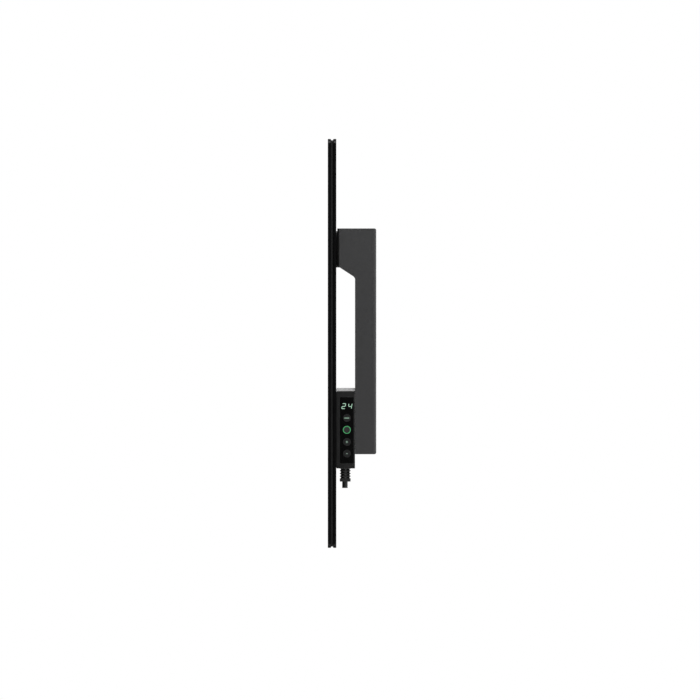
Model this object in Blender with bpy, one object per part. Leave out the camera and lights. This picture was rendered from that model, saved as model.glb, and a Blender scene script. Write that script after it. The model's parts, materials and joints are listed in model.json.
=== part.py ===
"""Slim wall-hung glass panel heater with a side control pod.

A sandwich of two edge-ground glass sheets hangs by two studs in the keyholes
of a wall frame: two hollow stand-off brackets joined by cross rails. The
control pod sits behind the panel at its right-hand side, seen from the front,
and its keys face sideways.

Frame: +X to the right seen from the front, +Y to the wall (the wall plane is
Y = 0, the front glass faces -Y), +Z up. The origin is the middle of the top
rail's back face, on the wall. All driving dimensions are in millimetres, with
heights measured from the middle of the panel; place() turns them into the
part's own frame, in metres.
"""

import math

import bmesh
import bpy
from mathutils import Vector

MM = 0.001

# ---------------------------------------------------------------- dimensions
PANEL_W, PANEL_H = 800.0, 500.0
PANEL_CORNER_R = 5.0
GLASS_T = 4.0
GLASS_EDGE_R = 1.0          # ground edge, rounded at both rims of each sheet
PANEL_FRONT_Y = -59.3
PANEL_BACK_Y = -48.9
SPACER_INSET, SPACER_W = 1.8, 8.0
FILM_INSET = 14.0

WALL_Y = 0.0
BRACKET_X0, BRACKET_X1 = 310.0, 370.0   # right bracket; the left one mirrors it
BRACKET_WALL = 2.0
HEAD_FRONT_Y = -45.7
PAD_Y0, PAD_Y1 = -47.7, -45.9  # soft pad on the head's front
COLUMN_FRONT_Y = -26.0
BRACKET_TOP_Z, BRACKET_BOTTOM_Z = 140.6, -135.5
HEAD_BOTTOM_Z = 92.8
SLANT_START_Y = -44.7
SLANT_RUN = 1.53            # run over drop of the slanted underside
SLANT_FILLET_R = 5.0
BRACKET_EDGE_R, HEAD_EDGE_R = 2.3, 0.6

STUD_X, STUD_Z = 340.0, 115.0
STUD_DISC_R, STUD_NECK_R, STUD_HEAD_R = 22.3, 4.0, 8.0
LIFT = 14.0                 # slot length: the panel's lift before it comes off
KEYHOLE_SLOT_W, KEYHOLE_ENTRY_R = 8.8, 9.4
WALL_SCREW_Z = (50.0, -100.0)
WALL_SCREW_HOLE_R, ACCESS_HOLE_R = 3.0, 5.5

RAIL_H, RAIL_T, RAIL_WALL = 30.0, 14.0, 1.5
RAIL_Z = (115.0, -110.0)
DATUM_Z = RAIL_Z[0]         # height of the part's origin above the panel's middle

POD_X0, POD_X1 = 270.0, 370.0
POD_Z0 = -152.9
POD_TOP_FACE_Z, POD_TOP_BACK_Z = -58.3, -54.4   # the top falls towards the keys
POD_TOP_FALL = 40.0
POD_WALL = 2.0
POD_BASE_Y0, POD_BASE_Y1 = -48.7, -46.7
POD_SHELL_Y0, POD_SHELL_Y1 = -46.5, -26.25
FASCIA_Y0, FASCIA_Y1 = -44.3, -27.7
FASCIA_Z0, FASCIA_Z1 = -146.6, -65.3
FASCIA_R = 1.6
FASCIA_X0, FASCIA_X1 = 368.2, 369.9
KEY_Y = -36.0
KEY_Z = {"mode": -91.3, "power": -105.7, "plus": -120.5, "minus": -134.8}
KEY_R, POWER_KEY_R = 4.75, 3.5
RING_R0, RING_R1 = 3.75, 4.85
KEY_FACE_X = 370.3
BOARD_X0, BOARD_X1 = 355.5, 357.1

GLAND_X, GLAND_Y = 322.0, -38.1
# the strain relief is flat-sided: half sizes along X and Y, and the rounding of its upright edges
GLAND_RIB, GLAND_GROOVE, GLAND_COLLAR = (6.0, 6.45, 1.6), (5.3, 5.75, 1.2), (6.1, 6.6, 1.7)
GLAND_BORE_R = 3.65
LEAD_R, LEAD_BORE_R = 3.4, 2.65
LEAD_END_Z = -176.8
CORE_R = 1.15

LEAD_HOLE_X, LEAD_HOLE_Z, LEAD_HOLE_R = 345.0, -105.0, 6.0
CUTOUT_X, CUTOUT_Z = 346.0, -84.0

# --------------------------------------------------------------- scene setup
for old in list(bpy.data.objects):
    bpy.data.objects.remove(old, do_unlink=True)
COLLECTION = bpy.context.scene.collection


def place(at):
    """A point measured from the panel's middle (mm), in the part's frame (m)."""
    return (Vector(at) - Vector((0.0, 0.0, DATUM_Z))) * MM


def material(name, colour, rough, metal=0.0, glow=None):
    mat = bpy.data.materials.new(name)
    mat.use_nodes = True
    shader = mat.node_tree.nodes["Principled BSDF"]
    shader.inputs["Base Color"].default_value = (*colour, 1.0)
    shader.inputs["Roughness"].default_value = rough
    shader.inputs["Metallic"].default_value = metal
    if glow:
        shader.inputs["Emission Color"].default_value = (*glow, 1.0)
        shader.inputs["Emission Strength"].default_value = 1.0
    return mat


def frame_empty(name, at=(0.0, 0.0, 0.0), parent=None):
    empty = bpy.data.objects.new(name, None)
    empty.empty_display_size = 0.02
    empty.location = place(at)
    COLLECTION.objects.link(empty)
    if parent:
        empty.parent = parent
        empty.location -= parent.location
    return empty


WALL_FRAME = frame_empty("wall_frame_origin", (0.0, WALL_Y, DATUM_Z))
PANEL = frame_empty("panel_lift_origin", (0.0, PANEL_BACK_Y, STUD_Z))


# ------------------------------------------------------------------- shapes
def rounded_rect(u0, v0, u1, v1, r, steps=4):
    """Outline of a rectangle with round corners, counter-clockwise."""
    points = []
    for cu, cv, start in (
        (u1 - r, v0 + r, -90), (u1 - r, v1 - r, 0), (u0 + r, v1 - r, 90), (u0 + r, v0 + r, 180),
    ):
        for i in range(steps + 1):
            a = math.radians(start + 90.0 * i / steps)
            points.append((cu + r * math.cos(a), cv + r * math.sin(a)))
    return points


def circle(u, v, r, steps=16):
    return [
        (u + r * math.cos(2 * math.pi * i / steps), v + r * math.sin(2 * math.pi * i / steps))
        for i in range(steps)
    ]


def along(axis, u, v, t):
    return {"X": (t, u, v), "Y": (u, t, v), "Z": (u, v, t)}[axis]


def add_prism(bm, outline, axis, lo, hi):
    """An outline across an axis, extruded from lo to hi."""
    verts = [bm.verts.new(place(along(axis, u, v, lo))) for u, v in outline]
    face = bm.faces.new(verts)
    moved = bmesh.ops.extrude_face_region(bm, geom=[face])["geom"]
    step = Vector(along(axis, 0.0, 0.0, hi - lo)) * MM
    bmesh.ops.translate(bm, verts=[g for g in moved if isinstance(g, bmesh.types.BMVert)], vec=step)


def prism(outline, axis, lo, hi):
    bm = bmesh.new()
    add_prism(bm, outline, axis, lo, hi)
    return bm


def box(x0, y0, z0, x1, y1, z1):
    return prism([(x0, y0), (x1, y0), (x1, y1), (x0, y1)], "Z", z0, z1)


def add_turned(bm, profile, axis, u, v, steps):
    """A closed profile of (radius, distance along the axis), turned about the axis through (u, v)."""
    spin_axis = Vector(along(axis, 0.0, 0.0, 1.0))
    first = []
    for r, t in profile:
        first.append(bm.verts.new(place(along(axis, u + r, v, t))))
    edges = [bm.edges.new((a, b)) for a, b in zip(first, first[1:])]
    if profile[0][0] > 0.0 or profile[-1][0] > 0.0:
        edges.append(bm.edges.new((first[-1], first[0])))
    bmesh.ops.spin(
        bm, geom=first + edges, cent=place(along(axis, u, v, 0.0)), axis=spin_axis,
        angle=2 * math.pi, steps=steps, use_merge=True, use_duplicate=False,
    )
    bmesh.ops.remove_doubles(bm, verts=bm.verts[:], dist=1e-6)


def turned(profile, axis, u, v, steps=16):
    bm = bmesh.new()
    add_turned(bm, profile, axis, u, v, steps)
    return bm


def bevel_where(bm, test, width, steps):
    edges = [e for e in bm.edges if test(*(w.co / MM for w in e.verts))]
    bmesh.ops.bevel(
        bm, geom=edges, offset=width * MM, offset_type="OFFSET", segments=steps, profile=0.5,
        affect="EDGES", clamp_overlap=True,
    )


def solid(name, bm, mat, origin, parent, smooth=False):
    """A node: its mesh from bm, its origin at origin (mm, world), carried by parent."""
    bmesh.ops.recalc_face_normals(bm, faces=bm.faces[:])
    bmesh.ops.translate(bm, verts=bm.verts[:], vec=-place(origin))
    mesh = bpy.data.meshes.new(name)
    bm.to_mesh(mesh)
    bm.free()
    if smooth:
        mesh.shade_smooth()
        mesh.set_sharp_from_angle(angle=math.radians(35.0))
    mesh.materials.append(mat)
    obj = bpy.data.objects.new(name, mesh)
    COLLECTION.objects.link(obj)
    obj.parent = parent
    obj.location = place(origin) - parent.location
    return obj


def tool(name, bm):
    bmesh.ops.recalc_face_normals(bm, faces=bm.faces[:])
    mesh = bpy.data.meshes.new(name)
    bm.to_mesh(mesh)
    bm.free()
    obj = bpy.data.objects.new(name, mesh)
    obj.hide_render = True
    obj.display_type = "WIRE"
    COLLECTION.objects.link(obj)
    return obj


def boolean(obj, other, operation):
    mod = obj.modifiers.new(other.name, "BOOLEAN")
    mod.operation = operation
    mod.solver = "EXACT"
    mod.object = other


def wire(name, points, r, mat, parent):
    """A round conductor along a smooth route through the points (mm)."""
    data = bpy.data.curves.new(name, "CURVE")
    data.dimensions = "3D"
    data.bevel_depth = r * MM
    data.bevel_resolution = 2
    data.use_fill_caps = True
    spline = data.splines.new("POLY")
    origin = Vector(points[0])
    spline.points.add(len(points) - 1)
    for slot, p in zip(spline.points, points):
        slot.co = (*((Vector(p) - origin) * MM), 1.0)
    data.materials.append(mat)
    obj = bpy.data.objects.new(name, data)
    COLLECTION.objects.link(obj)
    obj.parent = parent
    obj.location = place(origin) - parent.location
    return obj


def smooth_route(points, per_span=3):
    """Catmull-Rom samples through the points."""
    route = []
    padded = [points[0]] + list(points) + [points[-1]]
    for a, b, c, d in zip(padded, padded[1:], padded[2:], padded[3:]):
        a, b, c, d = map(Vector, (a, b, c, d))
        for i in range(per_span):
            t = i / per_span
            route.append(
                0.5 * (2 * b + (c - a) * t + (2 * a - 5 * b + 4 * c - d) * t * t + (3 * b - a - 3 * c + d) * t ** 3)
            )
    route.append(Vector(points[-1]))
    return [tuple(p) for p in route]


# ---------------------------------------------------------------- materials
GLASS_BLACK = material("black_glass", (0.004, 0.004, 0.005), 0.08)
SPACER_GREY = material("spacer_silicone", (0.016, 0.016, 0.016), 0.6)
FILM = material("heating_film", (0.03, 0.03, 0.032), 0.5)
COPPER = material("tinned_copper", (0.72, 0.45, 0.33), 0.35, 1.0)
INSULATION = material("insulation", (0.55, 0.5, 0.42), 0.9)
POWDER_GREY = material("powder_coat_grey", (0.047, 0.047, 0.048), 0.55, 0.2)
CAP_GREY = material("cap_plastic", (0.03, 0.03, 0.031), 0.6)
ZINC = material("zinc_steel", (0.6, 0.6, 0.6), 0.35, 1.0)
BLACK_STEEL = material("black_steel", (0.012, 0.012, 0.012), 0.45)
POD_BLACK = material("pod_plastic", (0.018, 0.018, 0.018), 0.4)
FASCIA_BLACK = material("fascia_gloss", (0.004, 0.004, 0.004), 0.07)
KEY_DARK = material("key_plastic", (0.018, 0.018, 0.018), 0.45)
RING_GREEN = material("ring_guide", (0.1, 0.5, 0.2), 0.3, 0.0, (0.06, 0.38, 0.13))
DISPLAY = material("display_block", (0.02, 0.022, 0.02), 0.4)
BOARD = material("circuit_board", (0.02, 0.12, 0.05), 0.5)
COMPONENT = material("component_black", (0.02, 0.02, 0.022), 0.45)
BLUE_CASE = material("component_blue", (0.03, 0.12, 0.35), 0.4)
GREEN_CASE = material("terminal_green", (0.05, 0.22, 0.09), 0.45)
RUBBER = material("rubber_black", (0.02, 0.02, 0.02), 0.7)
SHEATH = material("lead_sheath", (0.02, 0.02, 0.02), 0.5)
CORE_BROWN = material("core_brown", (0.13, 0.05, 0.02), 0.45)
CORE_BLUE = material("core_blue", (0.03, 0.1, 0.4), 0.45)
CORE_EARTH = material("core_earth", (0.25, 0.4, 0.04), 0.45)

# ------------------------------------------------------------------- panel
half_w, half_h = PANEL_W / 2, PANEL_H / 2


def glass_sheet(name, y0, y1):
    bm = prism(rounded_rect(-half_w, -half_h, half_w, half_h, PANEL_CORNER_R), "Y", y0, y1)
    bevel_where(bm, lambda a, b: abs(a.y - b.y) < 1e-3, GLASS_EDGE_R, 3)
    return solid(name, bm, GLASS_BLACK, (0.0, (y0 + y1) / 2, 0.0), PANEL, smooth=True)


glass_sheet("front_glass", PANEL_FRONT_Y, PANEL_FRONT_Y + GLASS_T)
rear_glass = glass_sheet("rear_glass", PANEL_BACK_Y - GLASS_T, PANEL_BACK_Y)
boolean(
    rear_glass,
    tool("rear_glass_lead_hole", prism(circle(LEAD_HOLE_X, LEAD_HOLE_Z, LEAD_HOLE_R), "Y", PANEL_BACK_Y - GLASS_T - 1, PANEL_BACK_Y + 1)),
    "DIFFERENCE",
)

seam_y0, seam_y1 = PANEL_FRONT_Y + GLASS_T, PANEL_BACK_Y - GLASS_T
# The spacer that shows in the seam: two uprights with the panel's round corners, two strips between them.
o, w, r = SPACER_INSET, SPACER_W, PANEL_CORNER_R - SPACER_INSET
mid_y = (seam_y0 + seam_y1) / 2
for side, word in ((1, "right"), (-1, "left")):
    corners = rounded_rect(0.0, -half_h + o, 3 * r, half_h - o, r)
    outer_side = [(u - 3 * r, v) for u, v in corners if u > 1.5 * r]   # only the rounded outer side
    outline = [(side * (half_w - o + u), v) for u, v in outer_side]
    outline += [(side * (half_w - o - w), half_h - o), (side * (half_w - o - w), -half_h + o)]
    solid(
        f"edge_spacer_{word}", prism(outline, "Y", seam_y0 + 0.2, seam_y1 - 0.2),
        SPACER_GREY, (side * (half_w - o), mid_y, 0.0), PANEL,
    )
reach = half_w - o - w - 0.3
for z0, z1, word in ((half_h - o - w, half_h - o, "top"), (-half_h + o, -half_h + o + w, "bottom")):
    solid(
        f"edge_spacer_{word}", box(-reach, seam_y0 + 0.2, z0, reach, seam_y1 - 0.2, z1),
        SPACER_GREY, (0.0, mid_y, z1), PANEL,
    )

f = FILM_INSET
solid(
    "heating_film", box(-half_w + f, seam_y0 + 0.2, -half_h + f, half_w - f, seam_y0 + 0.6, half_h - f),
    FILM, (0.0, seam_y0 + 0.4, 0.0), PANEL,
)
# One busbar along the bottom edge and one along the top; both run tails to the lead hole.
bus_y0, bus_y1 = seam_y0 + 0.8, seam_y0 + 1.1
lo_x, hi_x, lo_z, hi_z = -half_w + f, half_w - f, -half_h + f, half_h - f
solid(
    "busbar_bottom",
    prism(
        [(lo_x, lo_z), (hi_x - 30, lo_z), (hi_x - 30, lo_z + 8), (LEAD_HOLE_X - 1, lo_z + 8), (LEAD_HOLE_X - 1, LEAD_HOLE_Z + 3),
         (LEAD_HOLE_X - 5, LEAD_HOLE_Z + 3), (LEAD_HOLE_X - 5, lo_z + 8), (lo_x, lo_z + 8)], "Y", bus_y0, bus_y1),
    COPPER, (0.0, bus_y0, lo_z), PANEL,
)
solid(
    "busbar_top",
    prism(
        [(lo_x, hi_z - 8), (LEAD_HOLE_X + 1, hi_z - 8), (LEAD_HOLE_X + 1, LEAD_HOLE_Z - 3), (LEAD_HOLE_X + 5, LEAD_HOLE_Z - 3),
         (LEAD_HOLE_X + 5, hi_z - 8), (hi_x, hi_z - 8), (hi_x, hi_z), (lo_x, hi_z)], "Y", bus_y0, bus_y1),
    COPPER, (0.0, bus_y0, hi_z), PANEL,
)
insulation = solid(
    "insulation_sheet", box(-half_w + f, seam_y1 - 1.1, -half_h + f, half_w - f, seam_y1 - 0.2, half_h - f),
    INSULATION, (0.0, seam_y1 - 0.6, 0.0), PANEL,
)
boolean(
    insulation,
    tool("insulation_lead_hole", prism(circle(LEAD_HOLE_X, LEAD_HOLE_Z, LEAD_HOLE_R), "Y", seam_y1 - 3, seam_y1 + 1)),
    "DIFFERENCE",
)

# Hanger studs: a wide disc bonded to the rear glass, a neck in the keyhole, a head behind it.
for side, word in ((1, "right"), (-1, "left")):
    solid(
        f"hanger_stud_{word}",
        turned(
            [(0, -48.7), (STUD_DISC_R, -48.7), (STUD_DISC_R, -48.0), (STUD_NECK_R, -48.0), (STUD_NECK_R, -43.2),
             (STUD_HEAD_R, -43.2), (STUD_HEAD_R, -40.6), (STUD_HEAD_R - 1.2, -39.6), (0, -39.6)],
            "Y", side * STUD_X, STUD_Z, 32),
        BLACK_STEEL, (side * STUD_X, -48.05, STUD_Z), PANEL, smooth=True,
    )

# The lower rest at the left bracket stands where the pod stands at the right one.
rest = box(-365, -48.7, -142, -315, -28.3, -98)
bevel_where(rest, lambda a, b: abs(a.x - b.x) < 1e-3 and abs(a.z - b.z) < 1e-3, 3.0, 2)
solid("rest_block_left", rest, POD_BLACK, (-340.0, -48.7, -120.0), PANEL)
pad = box(-360, -28.0, -137, -320, -26.3, -103)
bevel_where(pad, lambda a, b: abs(a.x - b.x) < 1e-3 and abs(a.z - b.z) < 1e-3, 3.0, 2)
solid("rest_pad_left", pad, RUBBER, (-340.0, -28.0, -120.0), PANEL)

# --------------------------------------------------------------- wall frame
slant_end_z = HEAD_BOTTOM_Z - (COLUMN_FRONT_Y - SLANT_START_Y) / SLANT_RUN


def filleted_corner(corner, before, after, r, steps):
    """Points of an arc of radius r that rounds a corner of an outline."""
    c, p, n = Vector(corner), Vector(before), Vector(after)
    to_p, to_n = (p - c).normalized(), (n - c).normalized()
    half = to_p.angle(to_n) / 2
    reach = r / math.tan(half)
    centre = c + (to_p + to_n).normalized() * (r / math.sin(half))
    a, b = c + to_p * reach, c + to_n * reach
    points = []
    for k in range(steps + 1):
        spoke = (a - centre).lerp(b - centre, k / steps).normalized() * r
        points.append(tuple(centre + spoke))
    return points


outer = [(WALL_Y, BRACKET_TOP_Z), (HEAD_FRONT_Y, BRACKET_TOP_Z), (HEAD_FRONT_Y, HEAD_BOTTOM_Z), (SLANT_START_Y, HEAD_BOTTOM_Z)]
outer += filleted_corner(
    (COLUMN_FRONT_Y, slant_end_z), (SLANT_START_Y, HEAD_BOTTOM_Z), (COLUMN_FRONT_Y, BRACKET_BOTTOM_Z), SLANT_FILLET_R, 3
)
outer += [(COLUMN_FRONT_Y, BRACKET_BOTTOM_Z), (WALL_Y, BRACKET_BOTTOM_Z)]

# The hollow: the same profile, a wall thickness in, open at the foot.
slope = Vector((COLUMN_FRONT_Y - SLANT_START_Y, slant_end_z - HEAD_BOTTOM_Z)).normalized()
inward = Vector((-slope.y, slope.x))
base_point = Vector((SLANT_START_Y, HEAD_BOTTOM_Z)) + inward * BRACKET_WALL
in_head_y, in_col_y = HEAD_FRONT_Y + BRACKET_WALL, COLUMN_FRONT_Y + BRACKET_WALL
head_in_z, slant_in_z = (base_point.y + (y - base_point.x) * slope.y / slope.x for y in (in_head_y, in_col_y))
inner = [
    (WALL_Y - BRACKET_WALL, BRACKET_TOP_Z - BRACKET_WALL), (in_head_y, BRACKET_TOP_Z - BRACKET_WALL), (in_head_y, head_in_z),
    (in_col_y, slant_in_z), (in_col_y, BRACKET_BOTTOM_Z - 5), (WALL_Y - BRACKET_WALL, BRACKET_BOTTOM_Z - 5),
]


def keyhole_outline(x, z, grow=0.0):
    """Round entry above, slot below; the neck rests at (x, z) in the slot's foot."""
    s, e = KEYHOLE_SLOT_W / 2 + grow, KEYHOLE_ENTRY_R + grow
    half = math.asin(s / e)
    top = z + LIFT
    points = []
    for k in range(13):
        a = -math.pi / 2 + half + (2 * math.pi - 2 * half) * k / 12
        points.append((x + e * math.cos(a), top + e * math.sin(a)))
    for k in range(9):
        a = math.pi + math.pi * k / 8
        points.append((x + s * math.cos(a), z + s * math.sin(a)))
    return points


for side, word in ((1, "right"), (-1, "left")):
    x0, x1 = sorted((side * BRACKET_X0, side * BRACKET_X1))
    bm = prism(outer, "X", x0, x1)

    for edge_y, edge_r in ((WALL_Y, BRACKET_EDGE_R), (HEAD_FRONT_Y, HEAD_EDGE_R)):

        def upright(a, b):
            flank = abs(a.x - b.x) < 1e-3 and abs(a.z - b.z) > 1.0
            return flank and abs(a.y - edge_y) < 1e-3 and abs(b.y - edge_y) < 1e-3

        bevel_where(bm, upright, edge_r, 2)
    bracket = solid(f"bracket_{word}", bm, POWDER_GREY, (side * STUD_X, 0.0, 0.0), WALL_FRAME)
    boolean(bracket, tool(f"bracket_hollow_{word}", prism(inner, "X", x0 + BRACKET_WALL, x1 - BRACKET_WALL)), "DIFFERENCE")
    holes = prism(keyhole_outline(side * STUD_X, STUD_Z), "Y", HEAD_FRONT_Y - 1, HEAD_FRONT_Y + BRACKET_WALL + 0.8)
    for z in WALL_SCREW_Z:
        add_prism(holes, circle(side * STUD_X, z, WALL_SCREW_HOLE_R, 12), "Y", -BRACKET_WALL - 0.8, 1.0)
        add_prism(holes, circle(side * STUD_X, z, ACCESS_HOLE_R, 12), "Y", COLUMN_FRONT_Y - 1.0, COLUMN_FRONT_Y + BRACKET_WALL + 0.8)
    flank_lo, flank_hi = sorted((side * (BRACKET_X0 - 1.0), side * (BRACKET_X0 + BRACKET_WALL + 0.8)))
    for z in RAIL_Z:
        add_prism(holes, circle(-RAIL_T / 2, z, 2.9, 10), "X", flank_lo, flank_hi)
    boolean(bracket, tool(f"bracket_holes_{word}", holes), "DIFFERENCE")

    # Soft pad on the head's front, with a wider keyhole of its own.
    pad = solid(
        f"head_pad_{word}", prism(rounded_rect(x0, HEAD_BOTTOM_Z, x1, BRACKET_TOP_Z, 1.0, 2), "Y", PAD_Y0, PAD_Y1),
        RUBBER, (side * STUD_X, PAD_Y1, STUD_Z), WALL_FRAME,
    )
    boolean(pad, tool(f"head_pad_keyhole_{word}", prism(keyhole_outline(side * STUD_X, STUD_Z, 0.8), "Y", PAD_Y0 - 1, PAD_Y1 + 1)), "DIFFERENCE")

    # Plastic cap that closes the open foot.
    cap = box(
        x0 + BRACKET_WALL + 0.3, COLUMN_FRONT_Y + BRACKET_WALL + 0.3, BRACKET_BOTTOM_Z + 0.2,
        x1 - BRACKET_WALL - 0.3, WALL_Y - BRACKET_WALL - 0.3, BRACKET_BOTTOM_Z + 7.0,
    )
    foot_cap = solid(f"foot_cap_{word}", cap, CAP_GREY, (side * STUD_X, -13.0, BRACKET_BOTTOM_Z), WALL_FRAME)
    boolean(
        foot_cap,
        tool(f"foot_cap_hollow_{word}", box(x0 + 5, COLUMN_FRONT_Y + 5, BRACKET_BOTTOM_Z + 2.2, x1 - 5, WALL_Y - 5, BRACKET_BOTTOM_Z + 12)),
        "DIFFERENCE",
    )

    # Screws from inside the bracket into the rails' ends.
    for z, level in zip(RAIL_Z, ("top", "bottom")):
        profile = [(0, 1.0), (2.4, 1.0), (2.4, 12.3), (4.6, 12.3), (4.6, 14.0), (3.4, 15.0), (0, 15.0)]
        profile = [(r, side * (BRACKET_X0 - 10.0 + t - 0.0)) for r, t in profile]
        solid(
            f"rail_screw_{level}_{word}", turned(profile, "X", -RAIL_T / 2, z, 12),
            ZINC, (side * BRACKET_X0, -RAIL_T / 2, z), WALL_FRAME, smooth=True,
        )

for z, level in zip(RAIL_Z, ("top", "bottom")):
    reach = BRACKET_X0 - 0.3
    rail = solid(
        f"rail_{level}",
        prism(rounded_rect(WALL_Y - RAIL_T, z - RAIL_H / 2, WALL_Y, z + RAIL_H / 2, 1.5, 2), "X", -reach, reach),
        POWDER_GREY, (0.0, -RAIL_T / 2, z), WALL_FRAME,
    )
    boolean(
        rail,
        tool(
            f"rail_hollow_{level}",
            box(-reach - 5, WALL_Y - RAIL_T + RAIL_WALL, z - RAIL_H / 2 + RAIL_WALL, reach + 5, WALL_Y - RAIL_WALL, z + RAIL_H / 2 - RAIL_WALL),
        ),
        "DIFFERENCE",
    )

# ---------------------------------------------------------------------- pod
def pod_outline(inset):
    slope_a = math.atan2(POD_TOP_BACK_Z - POD_TOP_FACE_Z, POD_TOP_FALL)
    drop = inset / math.cos(slope_a)
    fall = (POD_TOP_BACK_Z - POD_TOP_FACE_Z) / POD_TOP_FALL
    bend_x = POD_X1 - POD_TOP_FALL
    # where the inset slope meets the inset level top
    meet = bend_x + (drop - inset) / fall * -1.0
    return [
        (POD_X0 + inset, POD_Z0 + inset), (POD_X1 - inset, POD_Z0 + inset),
        (POD_X1 - inset, POD_TOP_FACE_Z + inset * fall - drop), (meet, POD_TOP_BACK_Z - inset), (POD_X0 + inset, POD_TOP_BACK_Z - inset),
    ]


BOSSES = [(277.5, -62.0), (277.5, -145.5), (347.5, -64.0), (347.5, -145.5)]

pod_base = solid(
    "pod_base", prism(pod_outline(0.0), "Y", POD_BASE_Y0, POD_BASE_Y1), POD_BLACK, (POD_X1, POD_BASE_Y0, POD_Z0), PANEL
)
bm = bmesh.new()
for x, z in BOSSES:
    add_prism(bm, circle(x, z, 3.4, 12), "Y", POD_BASE_Y1 - 1.0, POD_BASE_Y1 + 2.4)
boolean(pod_base, tool("pod_base_bosses", bm), "UNION")
bm = bmesh.new()
for x, z in BOSSES:
    add_prism(bm, circle(x, z, 1.7, 10), "Y", POD_BASE_Y0 + 0.8, POD_BASE_Y1 + 4.0)
add_prism(bm, circle(LEAD_HOLE_X, LEAD_HOLE_Z, LEAD_HOLE_R), "Y", POD_BASE_Y0 - 1.0, POD_BASE_Y1 + 1.0)
add_prism(bm, circle(CUTOUT_X, CUTOUT_Z, 8.6), "Y", POD_BASE_Y0 - 1.0, POD_BASE_Y1 + 1.0)
boolean(pod_base, tool("pod_base_holes", bm), "DIFFERENCE")

pod_shell = solid(
    "pod_shell", prism(pod_outline(0.0), "Y", POD_SHELL_Y0, POD_SHELL_Y1), POD_BLACK, (POD_X1, POD_SHELL_Y1, POD_Z0), PANEL
)
boolean(
    pod_shell, tool("pod_hollow", prism(pod_outline(POD_WALL), "Y", POD_SHELL_Y0 - 3.0, POD_SHELL_Y1 - POD_WALL)), "DIFFERENCE"
)
bm = bmesh.new()
for x, z in BOSSES:
    add_prism(bm, circle(x, z, 4.2, 12), "Y", -43.9, POD_SHELL_Y1 - 1.0)
boolean(pod_shell, tool("pod_bosses", bm), "UNION")
bm = bmesh.new()
add_prism(
    bm, rounded_rect(FASCIA_Y0 - 0.2, FASCIA_Z0 - 0.2, FASCIA_Y1 + 0.2, FASCIA_Z1 + 0.2, FASCIA_R + 0.2, 3), "X",
    POD_X1 - POD_WALL - 1.0, POD_X1 + 1.0,
)
add_prism(bm, circle(GLAND_X, GLAND_Y, 5.5), "Z", POD_Z0 - 1.0, POD_Z0 + POD_WALL + 1.0)
for k in range(3):
    x = 290.0 + 5.0 * k
    add_prism(bm, rounded_rect(x - 0.9, -43.0, x + 0.9, -31.0, 0.8, 2), "Z", POD_Z0 - 1.0, POD_Z0 + POD_WALL + 1.0)
for x, z in BOSSES:
    add_turned(
        bm, [(0, -50.0), (1.7, -50.0), (1.7, -28.9), (3.1, -28.9), (3.1, -25.0), (0, -25.0)], "Y", x, z, 12
    )
boolean(pod_shell, tool("pod_openings", bm), "DIFFERENCE")

for number, (x, z) in enumerate(BOSSES, 1):
    solid(
        f"pod_screw_{number}",
        turned([(0, -47.2), (1.35, -47.2), (1.35, -28.6), (2.75, -28.6), (2.75, -27.2), (2.2, -26.7), (0, -26.7)], "Y", x, z, 12),
        ZINC, (x, -26.7, z), PANEL, smooth=True,
    )

fascia = solid(
    "fascia_lens", prism(rounded_rect(FASCIA_Y0, FASCIA_Z0, FASCIA_Y1, FASCIA_Z1, FASCIA_R, 3), "X", FASCIA_X0, FASCIA_X1),
    FASCIA_BLACK, (FASCIA_X1, KEY_Y, (FASCIA_Z0 + FASCIA_Z1) / 2), PANEL,
)
bm = bmesh.new()
for word, z in KEY_Z.items():
    add_prism(bm, circle(KEY_Y, z, RING_R1 + 0.25 if word == "power" else KEY_R + 0.25, 24), "X", FASCIA_X0 - 1.0, FASCIA_X1 + 1.0)
boolean(fascia, tool("fascia_key_holes", bm), "DIFFERENCE")

ring_z = KEY_Z["power"]
solid(
    "power_ring",
    turned([(RING_R0, FASCIA_X0), (RING_R1, FASCIA_X0), (RING_R1, FASCIA_X1 + 0.15), (RING_R0, FASCIA_X1 + 0.15)], "X", KEY_Y, ring_z, 24),
    RING_GREEN, (FASCIA_X1, KEY_Y, ring_z), PANEL, smooth=True,
)

# Keys: a cap in the fascia, a flange that keeps it behind the fascia, a stem into its switch.
for word, z in KEY_Z.items():
    r = POWER_KEY_R if word == "power" else KEY_R
    axis_empty = frame_empty(f"key_{word}_axis", (KEY_FACE_X, KEY_Y, z), PANEL)
    key = turned(
        [(0, 360.6), (1.6, 360.6), (1.6, 366.4), (5.4, 366.4), (5.4, 367.9), (r, 367.9), (r, KEY_FACE_X - 0.3), (r - 0.3, KEY_FACE_X), (0, KEY_FACE_X)],
        "X", KEY_Y, z, 20,
    )
    obj = solid(f"key_{word}", key, KEY_DARK, (KEY_FACE_X, KEY_Y, z), PANEL, smooth=True)
    obj.parent = axis_empty
    obj.location = (0.0, 0.0, 0.0)
    switch = solid(
        f"key_switch_{word}", box(BOARD_X1 + 0.3, KEY_Y - 3.0, z - 3.0, 361.4, KEY_Y + 3.0, z + 3.0),
        COMPONENT, (BOARD_X1, KEY_Y, z), PANEL,
    )
    boolean(switch, tool(f"key_switch_bore_{word}", prism(circle(KEY_Y, z, 2.0, 12), "X", 359.4, 363.0)), "DIFFERENCE")

solid("control_board", box(BOARD_X0, -45.6, -149.0, BOARD_X1, -29.0, -62.5), BOARD, (BOARD_X0, KEY_Y, -105.0), PANEL)
solid("display_module", box(BOARD_X1 + 0.3, -43.6, -83.0, 367.7, -28.7, -70.0), DISPLAY, (BOARD_X1, KEY_Y, -76.5), PANEL)

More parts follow.
